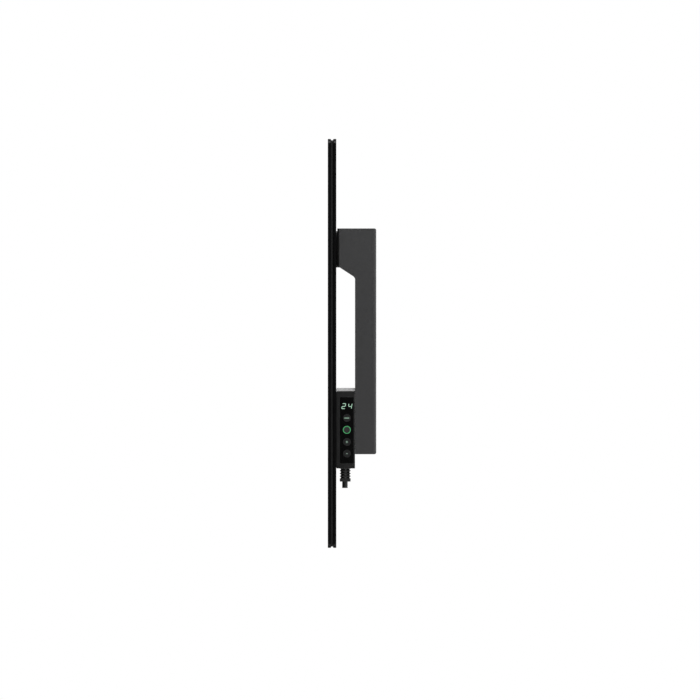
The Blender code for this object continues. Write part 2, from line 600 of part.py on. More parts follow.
solid("power_board", box(283.0, -46.3, -141.0, 336.0, -44.7, -66.0), BOARD, (310.0, -46.3, -103.0), PANEL)
bm = box(286.0, -44.4, -88.0, 301.2, -29.4, -69.0)
bevel_where(bm, lambda a, b: abs(a.x - b.x) < 1e-3 and abs(a.z - b.z) < 1e-3, 0.8, 1)
solid("relay", bm, BLUE_CASE, (293.5, -44.4, -78.5), PANEL)
bm = box(306.0, -44.4, -102.0, 328.0, -29.8, -68.0)
bevel_where(bm, lambda a, b: abs(a.x - b.x) < 1e-3 and abs(a.z - b.z) < 1e-3, 1.0, 1)
solid("power_supply_module", bm, COMPONENT, (317.0, -44.4, -85.0), PANEL)
solid(
    "capacitor", turned([(0, -44.4), (5.0, -44.4), (5.0, -31.0), (4.5, -30.4), (0, -30.4)], "Y", 293.5, -99.0, 14),
    COMPONENT, (293.5, -44.4, -99.0), PANEL, smooth=True,
)
terminal = solid("terminal_block", box(309.0, -44.4, -127.0, 335.0, -32.0, -115.0), GREEN_CASE, (322.0, -44.4, -127.0), PANEL)
bm = bmesh.new()
for x in (315.0, 322.0, 329.0):
    add_prism(bm, circle(x, GLAND_Y, 1.9, 10), "Z", -128.0, -121.0)
    add_prism(bm, circle(x, -119.0, 1.8, 10), "Y", -36.0, -31.0)
boolean(terminal, tool("terminal_entries", bm), "DIFFERENCE")

solid(
    "thermal_cutout",
    turned([(0, -48.6), (8.2, -48.6), (8.2, -45.5), (6.6, -45.5), (6.6, -39.5), (5.8, -38.7), (0, -38.7)], "Y", CUTOUT_X, CUTOUT_Z, 18),
    ZINC, (CUTOUT_X, -48.6, CUTOUT_Z), PANEL, smooth=True,
)
solid(
    "room_sensor",
    turned([(0, -149.6), (1.3, -149.0), (1.7, -147.8), (1.7, -143.5), (1.2, -142.6), (0, -142.6)], "Z", 295.0, -37.0, 10),
    COMPONENT, (295.0, -37.0, -149.6), PANEL, smooth=True,
)

# Strain relief: a round flange inside the pod, a round neck in its floor, flat-sided ribs and a collar below it.
floor = POD_Z0


def disc(r):
    return (r, r, r)


levels = [
    (disc(GLAND_BORE_R), floor + 4.5), (disc(7.2), floor + 4.5), (disc(7.2), floor + POD_WALL + 0.3),
    (disc(5.2), floor + POD_WALL + 0.3), (disc(5.2), floor - 0.3),
]
z = floor - 0.3
for k in range(3):
    levels += [(GLAND_GROOVE, z), (GLAND_GROOVE, z - 1.3), (GLAND_RIB, z - 1.5), (GLAND_RIB, z - 3.3)]
    z -= 3.5
levels += [(GLAND_GROOVE, z), (GLAND_GROOVE, z - 1.2), (GLAND_COLLAR, z - 1.4), (GLAND_COLLAR, -168.7), (disc(GLAND_BORE_R), -168.7)]
bm = bmesh.new()
loops = []
for (hx, hy, r), z in levels:
    section = rounded_rect(GLAND_X - hx, GLAND_Y - hy, GLAND_X + hx, GLAND_Y + hy, r - 1e-4, 4)
    loops.append([bm.verts.new(place((x, y, z))) for x, y in section])
for above, below in zip(loops, loops[1:] + loops[:1]):
    for i in range(len(above)):
        j = (i + 1) % len(above)
        bm.faces.new((above[i], above[j], below[j], below[i]))
solid("strain_relief", bm, RUBBER, (GLAND_X, GLAND_Y, floor), PANEL, smooth=True)

solid(
    "lead_sheath",
    turned([(LEAD_BORE_R, LEAD_END_Z), (LEAD_R, LEAD_END_Z), (LEAD_R, -139.0), (LEAD_BORE_R, -139.0)], "Z", GLAND_X, GLAND_Y, 18),
    SHEATH, (GLAND_X, GLAND_Y, LEAD_END_Z), PANEL, smooth=True,
)
spread = CORE_R * 2 / math.sqrt(3) + 0.12
for word, angle, x, mat in (("live", 210, 315.0, CORE_BROWN), ("earth", 90, 322.0, CORE_EARTH), ("neutral", 330, 329.0, CORE_BLUE)):
    cx, cy = GLAND_X + spread * math.cos(math.radians(angle)), GLAND_Y + spread * math.sin(math.radians(angle))
    route = [(cx, cy, LEAD_END_Z + 0.2), (cx, cy, -160.0), (cx, cy, -145.0)] + smooth_route(
        [(cx, cy, -138.5), (cx + 0.35 * (x - cx), GLAND_Y + 0.6 * (cy - GLAND_Y), -135.0), (x - 0.1 * (x - cx), GLAND_Y, -131.0), (x, GLAND_Y, -127.5)]
    ) + [(x, GLAND_Y, -123.0)]
    wire(f"lead_core_{word}", route, CORE_R, mat, PANEL)

# Leads from the busbar tails through the rear glass: one to the cut-out, one to the terminal block's side.
x, z = LEAD_HOLE_X - 3.0, LEAD_HOLE_Z
wire(
    "film_lead_neutral",
    [(x, bus_y1 + 0.3, z)] + smooth_route([(x, -50.0, z), (x, -45.5, z), (341.5, -41.5, z - 4.0), (339.0, -39.5, -113.0), (336.6, -39.0, -119.0)]),
    0.9, CORE_BLUE, PANEL,
)
x = LEAD_HOLE_X + 3.0
wire(
    "film_lead_live",
    [(x, bus_y1 + 0.3, z)] + smooth_route([(x, -50.0, z), (x, -45.0, z), (348.5, -39.0, z + 3.0), (348.5, -36.2, -96.0), (346.0, -36.6, -87.0)]),
    0.9, CORE_BROWN, PANEL,
)
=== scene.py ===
import json
import math

import bmesh
import bpy
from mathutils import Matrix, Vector


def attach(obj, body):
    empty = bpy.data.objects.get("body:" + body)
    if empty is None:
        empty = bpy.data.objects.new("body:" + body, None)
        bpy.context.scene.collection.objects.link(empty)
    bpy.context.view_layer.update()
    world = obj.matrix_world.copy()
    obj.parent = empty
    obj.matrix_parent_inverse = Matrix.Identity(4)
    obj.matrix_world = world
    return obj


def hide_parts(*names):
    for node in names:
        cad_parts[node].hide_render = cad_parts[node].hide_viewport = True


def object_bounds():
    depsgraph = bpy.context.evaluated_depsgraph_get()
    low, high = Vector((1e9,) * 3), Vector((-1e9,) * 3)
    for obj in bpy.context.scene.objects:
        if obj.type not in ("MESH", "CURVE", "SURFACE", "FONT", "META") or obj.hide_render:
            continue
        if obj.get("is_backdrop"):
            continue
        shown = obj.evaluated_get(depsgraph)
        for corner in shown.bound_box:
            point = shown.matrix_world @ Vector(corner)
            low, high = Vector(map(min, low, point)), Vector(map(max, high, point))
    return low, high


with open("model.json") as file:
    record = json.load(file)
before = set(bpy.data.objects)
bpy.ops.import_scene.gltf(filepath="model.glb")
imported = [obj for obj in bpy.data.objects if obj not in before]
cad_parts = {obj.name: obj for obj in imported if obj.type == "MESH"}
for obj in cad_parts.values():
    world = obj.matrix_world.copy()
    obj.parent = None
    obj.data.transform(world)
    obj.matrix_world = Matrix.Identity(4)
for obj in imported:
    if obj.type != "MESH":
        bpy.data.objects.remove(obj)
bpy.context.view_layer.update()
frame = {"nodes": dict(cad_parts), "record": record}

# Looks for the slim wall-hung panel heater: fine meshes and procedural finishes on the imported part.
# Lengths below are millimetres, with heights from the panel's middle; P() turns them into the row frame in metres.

SCENE = bpy.context.scene
MM = 0.001
DATUM_Z = 115.0


def P(x, y, z):
    return Vector((x * MM, y * MM, (z - DATUM_Z) * MM))


# ------------------------------------------------------------------ finishes
class Look:
    """A Principled material with its node tree at hand."""

    def __init__(self, name, colour, rough, metal=0.0, spec=0.5):
        self.mat = bpy.data.materials.new(name)
        self.mat.use_nodes = True
        self.tree = self.mat.node_tree
        self.shader = self.tree.nodes["Principled BSDF"]
        self.colour = colour
        self.rough = rough
        self.set("Base Color", (*colour, 1.0))
        self.set("Roughness", rough)
        self.set("Metallic", metal)
        self.set("Specular IOR Level", spec)
        coords = self.add("ShaderNodeTexCoord")
        self.place = coords.outputs["Object"]
        self.heights = []

    def set(self, socket, value):
        self.shader.inputs[socket].default_value = value
        return self

    def add(self, kind, **values):
        node = self.tree.nodes.new(kind)
        for key, value in values.items():
            setattr(node, key, value)
        return node

    def link(self, a, b):
        self.tree.links.new(a, b)

    def noise(self, size_mm, detail=2.0, rough=0.5, stretch=(1.0, 1.0, 1.0), distort=0.0):
        """Noise with features of about size_mm."""
        place = self.place
        if stretch != (1.0, 1.0, 1.0):
            mapping = self.add("ShaderNodeMapping")
            mapping.inputs["Scale"].default_value = stretch
            self.link(place, mapping.inputs["Vector"])
            place = mapping.outputs["Vector"]
        node = self.add("ShaderNodeTexNoise")
        node.inputs["Scale"].default_value = 1.0 / (size_mm * MM)
        node.inputs["Detail"].default_value = detail
        node.inputs["Roughness"].default_value = rough
        node.inputs["Distortion"].default_value = distort
        self.link(place, node.inputs["Vector"])
        return node.outputs["Fac"]

    def cells(self, size_mm, feature="F1"):
        node = self.add("ShaderNodeTexVoronoi", feature=feature)
        node.inputs["Scale"].default_value = 1.0 / (size_mm * MM)
        self.link(self.place, node.inputs["Vector"])
        return node.outputs["Distance"]

    def spread(self, fac, lo, hi, at=(0.3, 0.7)):
        node = self.add("ShaderNodeMapRange", clamp=True)
        node.inputs["From Min"].default_value = at[0]
        node.inputs["From Max"].default_value = at[1]
        node.inputs["To Min"].default_value = lo
        node.inputs["To Max"].default_value = hi
        self.link(fac, node.inputs["Value"])
        return node.outputs["Result"]

    def ramp(self, fac, stops):
        node = self.add("ShaderNodeValToRGB")
        band = node.color_ramp
        while len(band.elements) > len(stops):
            band.elements.remove(band.elements[-1])
        while len(band.elements) < len(stops):
            band.elements.new(0.5)
        for element, (at, colour) in zip(band.elements, stops):
            element.position = at
            element.color = (*colour, 1.0)
        self.link(fac, node.inputs["Fac"])
        return node.outputs["Color"]

    def mottled(self, size_mm, amount, at=(0.3, 0.7), **noise):
        """Base colour that varies by amount over patches of size_mm."""
        dark = tuple(c * (1.0 - amount) for c in self.colour)
        light = tuple(c * (1.0 + amount) for c in self.colour)
        self.link(self.ramp(self.noise(size_mm, **noise), [(at[0], dark), (at[1], light)]), self.shader.inputs["Base Color"])
        return self

    def rough_between(self, lo, hi, size_mm, **noise):
        self.link(self.spread(self.noise(size_mm, **noise), lo, hi), self.shader.inputs["Roughness"])
        return self

    def bump(self, fac, depth_mm, strength=1.0):
        node = self.add("ShaderNodeBump")
        node.inputs["Strength"].default_value = strength
        node.inputs["Distance"].default_value = depth_mm * MM
        self.link(fac, node.inputs["Height"])
        if self.heights:
            self.link(self.heights[-1].outputs["Normal"], node.inputs["Normal"])
        else:
            self.heights.append(node)
            self.link(node.outputs["Normal"], self.shader.inputs["Normal"])
            return self
        self.heights.append(node)
        self.link(node.outputs["Normal"], self.shader.inputs["Normal"])
        return self

    def glow(self, colour, strength):
        self.set("Emission Color", (*colour, 1.0))
        self.set("Emission Strength", strength)
        return self


def moulded(name, colour, rough, grain=0.5, depth=0.02, patch=14.0, amount=0.12, spec=0.5, spread=0.06):
    """Fine spark-eroded plastic: grain in the bump, patches in colour and gloss."""
    look = Look(name, colour, rough, spec=spec)
    look.mottled(patch, amount, detail=3.0)
    look.rough_between(rough - spread, rough + spread, grain * 8.0, detail=3.0)
    look.bump(look.noise(grain, detail=2.0), depth, 0.5)
    return look


LOOKS = {}

# black back-coated glass, faintly wavy and faintly smeared
look = Look("glass_face", (0.0035, 0.0035, 0.004), 0.05, spec=0.5)
look.mottled(60.0, 0.12, detail=2.0)
look.rough_between(0.035, 0.085, 45.0, detail=5.0, distort=0.6)
look.bump(look.noise(140.0, detail=1.0), 0.010, 0.6)
LOOKS["glass_face"] = look.mat

# ground and blackened edge of the glass, and the polished turn of its corners
look = Look("glass_edge", (0.0034, 0.0034, 0.0036), 0.62, spec=0.05)
look.mottled(6.0, 0.25, detail=3.0)
look.rough_between(0.55, 0.7, 1.2, detail=3.0)
look.bump(look.noise(0.35, detail=2.0), 0.006, 0.4)
LOOKS["glass_edge"] = look.mat
look = Look("glass_corner", (0.003, 0.003, 0.0031), 0.22, spec=0.3)
look.mottled(3.0, 0.2, detail=3.0)
look.bump(look.noise(0.35, detail=2.0), 0.004, 0.3)
# polish fades into the ground edge at both ends of the turn
parts = look.add("ShaderNodeSeparateXYZ")
look.link(look.place, parts.inputs["Vector"])
height = look.add("ShaderNodeMath", operation="ADD")
height.inputs[1].default_value = DATUM_Z * MM
look.link(parts.outputs["Z"], height.inputs[0])
height_size = look.add("ShaderNodeMath", operation="ABSOLUTE")
look.link(height.outputs["Value"], height_size.inputs[0])
rising = look.spread(height_size.outputs["Value"], 0.42, 0.0, at=(0.2450, 0.2455))
falling = look.spread(height_size.outputs["Value"], 0.0, 0.42, at=(0.2462, 0.2479))
dulled = look.add("ShaderNodeMath", operation="ADD")
look.link(rising, dulled.inputs[0])
look.link(falling, dulled.inputs[1])
grain = look.add("ShaderNodeMath", operation="ADD")
look.link(dulled.outputs["Value"], grain.inputs[0])
look.link(look.spread(look.noise(1.0, detail=3.0), 0.18, 0.24), grain.inputs[1])
look.link(grain.outputs["Value"], look.shader.inputs["Roughness"])
LOOKS["glass_corner"] = look.mat

LOOKS["edge_spacer"] = moulded("silicone_seal", (0.024, 0.024, 0.024), 0.62, grain=0.35, depth=0.012, patch=30.0, amount=0.08, spec=0.06).mat

# powder coat: fine orange peel over a finer grain, with a trace of sheen
look = Look("powder_coat", (0.0545, 0.0545, 0.0557), 0.5, spec=0.4)
look.mottled(0.8, 0.07, detail=4.0)
look.rough_between(0.42, 0.56, 5.0, detail=3.0)
look.bump(look.noise(1.0, detail=2.0), 0.022, 0.45)
look.bump(look.cells(0.4), 0.010, 0.35)
LOOKS["powder_grey"] = look.mat

LOOKS["cap_plastic"] = moulded("cap_plastic", (0.028, 0.028, 0.029), 0.58, grain=0.6, depth=0.02).mat
LOOKS["pod_plastic"] = moulded("pod_plastic", (0.0148, 0.0148, 0.0148), 0.34, grain=0.5, depth=0.012, patch=18.0, amount=0.08, spec=0.5, spread=0.04).mat
LOOKS["key_plastic"] = moulded("key_plastic", (0.018, 0.018, 0.018), 0.42, grain=0.3, depth=0.008, patch=3.0, amount=0.08, spec=0.3, spread=0.04).mat
LOOKS["power_key"] = moulded("power_key_plastic", (0.047, 0.043, 0.045), 0.4, grain=0.3, depth=0.008, patch=2.0, amount=0.08, spec=0.3, spread=0.04).mat
LOOKS["component_black"] = moulded("component_case", (0.02, 0.02, 0.022), 0.45, grain=0.6, depth=0.02).mat
LOOKS["display_block"] = moulded("display_block", (0.02, 0.022, 0.02), 0.4, grain=0.6, depth=0.01).mat
LOOKS["relay_blue"] = moulded("relay_case", (0.03, 0.12, 0.35), 0.4, grain=0.6, depth=0.012).mat
LOOKS["terminal_green"] = moulded("terminal_case", (0.05, 0.22, 0.09), 0.45, grain=0.6, depth=0.015).mat
LOOKS["core_brown"] = moulded("core_brown", (0.13, 0.05, 0.02), 0.45, grain=0.5, depth=0.01).mat
LOOKS["core_blue"] = moulded("core_blue", (0.03, 0.1, 0.4), 0.45, grain=0.5, depth=0.01).mat
LOOKS["rubber_black"] = moulded("rubber_black", (0.014, 0.014, 0.014), 0.6, grain=0.4, depth=0.02, patch=6.0, amount=0.15, spec=0.25).mat
# paler rubber for the spines: a painted highlight, a lighter colour standing in for the light the spines catch
LOOKS["relief_spine_painted_highlight"] = moulded("relief_spine_painted_highlight", (0.094, 0.094, 0.094), 0.55, grain=0.35, depth=0.015, patch=4.0, amount=0.12, spec=0.25).mat
LOOKS["relief_rubber"] = moulded("relief_rubber", (0.056, 0.056, 0.056), 0.6, grain=0.35, depth=0.015, patch=4.0, amount=0.12, spec=0.2).mat
LOOKS["head_pad"] = moulded("head_pad_rubber", (0.0055, 0.0055, 0.0055), 0.6, grain=0.5, depth=0.02, patch=8.0, amount=0.15, spec=0.15).mat
LOOKS["black_steel"] = moulded("black_coated_steel", (0.0075, 0.0075, 0.0075), 0.5, grain=0.4, depth=0.008, patch=7.0, amount=0.1, spec=0.1).mat
LOOKS["heating_film"] = moulded("carbon_film", (0.03, 0.03, 0.032), 0.5, grain=0.8, depth=0.01).mat

# gloss smoked lens
look = Look("fascia_gloss", (0.0048, 0.0048, 0.0048), 0.07, spec=0.4)
look.mottled(20.0, 0.1, detail=2.0)
look.rough_between(0.05, 0.10, 8.0, detail=4.0)
look.bump(look.noise(30.0, detail=1.0), 0.004, 0.4)
LOOKS["fascia_gloss"] = look.mat

# lit guide round the power key: brighter over the lamps behind it
look = Look("ring_guide", (0.03, 0.16, 0.06), 0.35, spec=0.3)
look.mottled(2.5, 0.2, detail=1.0)
look.link(
    look.ramp(look.noise(3.5, detail=1.0), [(0.3, (0.052, 0.265, 0.100)), (0.7, (0.074, 0.350, 0.132))]),
    look.shader.inputs["Emission Color"],
)
look.set("Emission Strength", 1.0)
look.bump(look.noise(0.4), 0.004, 0.3)
LOOKS["ring_green"] = look.mat


def lit(name, low, high, strength, size_mm):
    """Pale lit print: the light is a little uneven behind it."""
    made = Look(name, tuple(0.3 * c for c in high), 0.4, spec=0.3)
    made.mottled(size_mm, 0.1, detail=1.0)
    made.link(made.ramp(made.noise(size_mm, detail=1.0), [(0.3, low), (0.7, high)]), made.shader.inputs["Emission Color"])
    made.set("Emission Strength", strength)
    made.bump(made.noise(0.4), 0.003, 0.3)
    return made.mat


LOOKS["digit_light"] = lit("digit_light", (0.35, 0.56, 0.42), (0.47, 0.74, 0.56), 1.0, 2.0)
LOOKS["mark_mode"] = lit("mark_mode", (0.145, 0.225, 0.17), (0.20, 0.31, 0.235), 1.0, 2.5)
LOOKS["mark_plus"] = lit("mark_plus", (0.20, 0.30, 0.235), (0.25, 0.37, 0.29), 1.0, 1.2)
LOOKS["mark_minus"] = lit("mark_minus", (0.17, 0.23, 0.19), (0.21, 0.29, 0.24), 1.0, 1.2)

# zinc plate: brushed, slightly clouded
look = Look("zinc_plate", (0.55, 0.55, 0.56), 0.35, metal=1.0)
look.mottled(2.5, 0.14, detail=4.0)
look.rough_between(0.28, 0.45, 0.9, detail=3.0)
look.bump(look.noise(0.25, stretch=(1.0, 1.0, 6.0)), 0.008, 0.3)
LOOKS["zinc_steel"] = look.mat

# copper of the busbars and of the cut cores
look = Look("bare_copper", (0.72, 0.40, 0.27), 0.35, metal=1.0)
look.mottled(4.0, 0.15, detail=4.0)
look.rough_between(0.28, 0.45, 1.0, detail=3.0)
look.bump(look.noise(0.4), 0.01, 0.3)
LOOKS["busbar_copper"] = look.mat

# woven glass-fibre sheet
look = Look("fibre_sheet", (0.55, 0.5, 0.42), 0.9, spec=0.2)
look.mottled(3.0, 0.12, detail=5.0)
weave = look.add("ShaderNodeTexWave", wave_type="BANDS", bands_direction="DIAGONAL")
weave.inputs["Scale"].default_value = 600.0
weave.inputs["Distortion"].default_value = 1.5
look.link(look.place, weave.inputs["Vector"])
look.bump(weave.outputs["Fac"], 0.05, 0.5)
LOOKS["insulation"] = look.mat

# green solder mask with traces under it
look = Look("solder_mask", (0.02, 0.12, 0.05), 0.4)
traces = look.add("ShaderNodeTexBrick", offset=0.35)
traces.inputs["Scale"].default_value = 220.0
traces.inputs["Mortar Size"].default_value = 0.03
traces.inputs["Color1"].default_value = (0.018, 0.105, 0.045, 1.0)
traces.inputs["Color2"].default_value = (0.022, 0.13, 0.055, 1.0)
traces.inputs["Mortar"].default_value = (0.05, 0.2, 0.08, 1.0)
look.link(look.place, traces.inputs["Vector"])
look.link(traces.outputs["Color"], look.shader.inputs["Base Color"])
look.bump(traces.outputs["Fac"], 0.02, 0.4)
LOOKS["circuit_board"] = look.mat

# soft vinyl sheath
look = Look("lead_sheath", (0.034, 0.034, 0.034), 0.42, spec=0.35)
look.mottled(5.0, 0.1, detail=3.0)
look.rough_between(0.36, 0.5, 1.5, detail=3.0)
look.bump(look.noise(0.5, stretch=(1.0, 1.0, 0.15)), 0.02, 0.5)
LOOKS["lead_sheath"] = look.mat

# green and yellow earth core: stripes along it
look = Look("core_earth", (0.1, 0.3, 0.05), 0.45)
stripe = look.add("ShaderNodeTexWave", wave_type="BANDS", bands_direction="X")
stripe.inputs["Scale"].default_value = 140.0
look.link(look.place, stripe.inputs["Vector"])
look.link(look.ramp(stripe.outputs["Fac"], [(0.45, (0.05, 0.25, 0.05)), (0.55, (0.62, 0.5, 0.04))]), look.shader.inputs["Base Color"])
look.bump(look.noise(0.5), 0.01, 0.4)
LOOKS["core_earth"] = look.mat

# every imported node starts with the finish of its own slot
SLOT_OF = {s["node"]: s["material_slot"] for s in frame["record"]["subparts"]}
SLOT_LOOK = {"black_glass": "glass_face"}
for node, obj in frame["nodes"].items():
    slot = SLOT_OF[node]
    obj.data.materials.clear()
    obj.data.materials.append(LOOKS[SLOT_LOOK.get(slot, slot)])

# -------------------------------------------------------------------- shapes
def along(axis, u, v, t):
    return {"X": (t, u, v), "Y": (u, t, v), "Z": (u, v, t)}[axis]


def rounded_rect(u0, v0, u1, v1, r, steps=8):
    points = []
    for cu, cv, start in (
        (u1 - r, v0 + r, -90), (u1 - r, v1 - r, 0), (u0 + r, v1 - r, 90), (u0 + r, v0 + r, 180),
    ):
        for i in range(steps + 1):
            a = math.radians(start + 90.0 * i / steps)
            points.append((cu + r * math.cos(a), cv + r * math.sin(a)))
    return points


def circle(u, v, r, steps=48):
    return [
        (u + r * math.cos(2 * math.pi * i / steps), v + r * math.sin(2 * math.pi * i / steps)) for i in range(steps)
    ]


def filleted(corner, before, after, r, steps=8):
    """Points of an arc of radius r that rounds a corner of an outline."""
    c, p, n = Vector(corner), Vector(before), Vector(after)
    to_p, to_n = (p - c).normalized(), (n - c).normalized()
    half = to_p.angle(to_n) / 2
    centre = c + (to_p + to_n).normalized() * (r / math.sin(half))
    a, b = c + to_p * (r / math.tan(half)), c + to_n * (r / math.tan(half))
    return [tuple(centre + (a - centre).lerp(b - centre, k / steps).normalized() * r) for k in range(steps + 1)]


def add_loft(bm, rings, closed=False):
    """Bridges rings of equally many points, and closes the ends unless the rings go round."""
    loops = [[bm.verts.new(p) for p in ring] for ring in rings]
    pairs = list(zip(loops, loops[1:])) + ([(loops[-1], loops[0])] if closed else [])
    n = len(loops[0])
    strips = [[bm.faces.new((a[i], a[(i + 1) % n], b[(i + 1) % n], b[i])) for i in range(n)] for a, b in pairs]
    caps = [] if closed else [bm.faces.new(loops[0][::-1]), bm.faces.new(loops[-1])]
    return strips, caps


def add_prism(bm, outline, axis, lo, hi):
    return add_loft(bm, [[P(*along(axis, u, v, t)) for u, v in outline] for t in (lo, hi)])


def prism(outline, axis, lo, hi):
    bm = bmesh.new()
    add_prism(bm, outline, axis, lo, hi)
    return bm


def box(x0, y0, z0, x1, y1, z1):
    return prism([(x0, y0), (x1, y0), (x1, y1), (x0, y1)], "Z", z0, z1)


def add_turned(bm, profile, axis, u, v, steps=64, closed=False):
    """A profile of (radius, distance along the axis), turned about the axis through (u, v); closed rings have a bore."""
    loops = []
    for r, t in profile:
        if r <= 1e-9:
            loops.append([bm.verts.new(P(*along(axis, u, v, t)))])
        else:
            loops.append([
                bm.verts.new(P(*along(axis, u + r * math.cos(2 * math.pi * i / steps), v + r * math.sin(2 * math.pi * i / steps), t)))
                for i in range(steps)
            ])
    pairs = list(zip(loops, loops[1:])) + ([(loops[-1], loops[0])] if closed else [])
    for a, b in pairs:
        for i in range(steps):
            j = (i + 1) % steps
            ring = [a[0]] if len(a) == 1 else [a[i], a[j]]
            ring += [b[0]] if len(b) == 1 else [b[j], b[i]]
            if len(ring) > 2:
                bm.faces.new(ring)


def turned(profile, axis, u, v, steps=64, closed=False):
    bm = bmesh.new()
    add_turned(bm, profile, axis, u, v, steps, closed)
    return bm


def arc(r, t, radius, start, end, steps=5):
    """Points (r, t) of a rounding in a turned profile, from start to end degrees."""
    return [
        (r + radius * math.cos(math.radians(start + (end - start) * k / steps)),
         t + radius * math.sin(math.radians(start + (end - start) * k / steps)))
        for k in range(steps + 1)
    ]


def raw_object(name, bm):
    bmesh.ops.recalc_face_normals(bm, faces=bm.faces[:])
    mesh = bpy.data.meshes.new(name)
    bm.to_mesh(mesh)
    bm.free()
    obj = bpy.data.objects.new(name, mesh)
    SCENE.collection.objects.link(obj)
    return obj


def bake_modifiers(obj):
    graph = bpy.context.evaluated_depsgraph_get()
    made = bpy.data.meshes.new_from_object(obj.evaluated_get(graph))
    old = obj.data
    obj.modifiers.clear()
    obj.data = made
    bpy.data.meshes.remove(old)
    made.name = obj.name
    return obj


def rounded(obj, width_mm, steps=3, angle=30.0, weights=None):
    """Rounds the edges: all those sharper than angle, or those that weights(a, b) gives a share of width."""
    mod = obj.modifiers.new("round", "BEVEL")
    mod.width = width_mm * MM
    mod.segments = steps
    mod.use_clamp_overlap = True
    mod.miter_outer = "MITER_ARC"
    if weights:
        mod.limit_method = "WEIGHT"
        layer = obj.data.attributes.new("bevel_weight_edge", "FLOAT", "EDGE")
        lift = Vector((0.0, 0.0, DATUM_Z))
        for edge in obj.data.edges:
            a, b = (obj.data.vertices[i].co / MM + lift for i in edge.vertices)
            layer.data[edge.index].value = weights(a, b)
    else:
        mod.limit_method = "ANGLE"
        mod.angle_limit = math.radians(angle)
    return bake_modifiers(obj)


def joined(obj, bm, operation):
    tool = raw_object(obj.name + "_tool", bm)
    mod = obj.modifiers.new("cut", "BOOLEAN")
    mod.operation = operation
    mod.solver = "EXACT"
    mod.object = tool
    bake_modifiers(obj)
    bpy.data.objects.remove(tool, do_unlink=True)
    return obj


def cut(obj, bm):
    return joined(obj, bm, "DIFFERENCE")


def piece(obj, look, body, stands_for=(), smooth=32.0):
    """Finishes a made object: its shading, its finish, the body it rides, the nodes it stands for."""
    mesh = obj.data
    mesh.shade_smooth()
    mesh.set_sharp_from_angle(angle=math.radians(smooth))
    if not mesh.materials:
        mesh.materials.append(LOOKS[look])
    else:
        mesh.materials[0] = LOOKS[look]
    mod = obj.modifiers.new("flat_faces_lead", "WEIGHTED_NORMAL")
    mod.weight = 100
    mod.keep_sharp = True
    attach(obj, body)
    if stands_for:
        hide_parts(*stands_for)
    return obj


# --------------------------------------------------------------------- panel
HALF_W, HALF_H, CORNER = 400.0, 250.0, 5.0


def panel_outline(inset):
    return rounded_rect(-HALF_W + inset, -HALF_H + inset, HALF_W - inset, HALF_H - inset, CORNER - inset, 10)


def glass_sheet(name, node, y0, y1, r0, r1, hole=None):
    """Two flat faces and a ground edge between them, rounded by r0 at y0 and by r1 at y1."""
    steps = 7
    rings = []
    for k in range(steps + 1):
        a = math.pi / 2 * k / steps
        rings.append((r0 * (1 - math.sin(a)), y0 + r0 * (1 - math.cos(a))))
    for k in range(steps + 1):
        a = math.pi / 2 * k / steps
        rings.append((r1 * (1 - math.cos(a)), y1 - r1 * (1 - math.sin(a))))
    bm = bmesh.new()
    strips, caps = add_loft(bm, [[P(u, y, v) for u, v in panel_outline(d)] for d, y in rings])
    for strip in strips:
        for k, face in enumerate(strip):
            turn = k % 11                                      # ten faces round each corner, then a straight one
            polished = turn in ((6, 7, 8, 9) if k // 11 in (0, 2) else (0, 1, 2, 3)) and k % 11 < 10
            face.material_index = 2 if polished else 1
    obj = raw_object(name, bm)
    obj.data.materials.append(LOOKS["glass_face"])
    obj.data.materials.append(LOOKS["glass_edge"])
    obj.data.materials.append(LOOKS["glass_corner"])
    if hole:
        cut(obj, prism(circle(*hole), "Y", y0 - 1, y1 + 1))
    return piece(obj, "glass_face", "panel", [node], smooth=30.0)


glass_sheet("glass_front", "front_glass", -59.3, -55.3, 0.7, 1.2)
glass_sheet("glass_rear", "rear_glass", -52.9, -48.9, 1.2, 0.7, hole=(345.0, -105.0, 6.0))

# the seal in the seam: a bead that sags in between the two sheets
bm = bmesh.new()
bead = [(-55.31, 1.48), (-55.1, 1.57), (-54.7, 1.64), (-54.1, 1.67), (-53.5, 1.64), (-53.1, 1.57), (-52.89, 1.48), (-52.89, 4.6), (-55.31, 4.6)]
add_loft(bm, [[P(u, y, v) for u, v in panel_outline(d)] for y, d in bead], closed=True)
piece(
    raw_object("edge_seal", bm), "edge_spacer", "panel",
    ["edge_spacer_top", "edge_spacer_bottom", "edge_spacer_left", "edge_spacer_right"],
)

STUD_X, STUD_Z = 340.0, 115.0
for side, word in ((1, "right"), (-1, "left")):
    profile = [(0.0, -48.92), (22.3, -48.92)] + arc(22.15, -47.83, 0.15, 0, 90) + [(4.6, -47.68)]
    profile += [(4.1, -47.6), (4.0, -47.2), (4.0, -43.5), (4.3, -43.2)] + arc(7.6, -42.8, 0.4, -90, 0) + arc(7.2, -40.4, 0.8, 0, 90) + [(0.0, -39.6)]
    stud = raw_object(f"hanger_{word}", turned(profile, "Y", side * STUD_X, STUD_Z, 96))
    cut(stud, prism(circle(side * STUD_X, STUD_Z, 2.6, 6), "Y", -41.6, -39.0))
    piece(stud, "black_steel", "panel", [f"hanger_stud_{word}"])

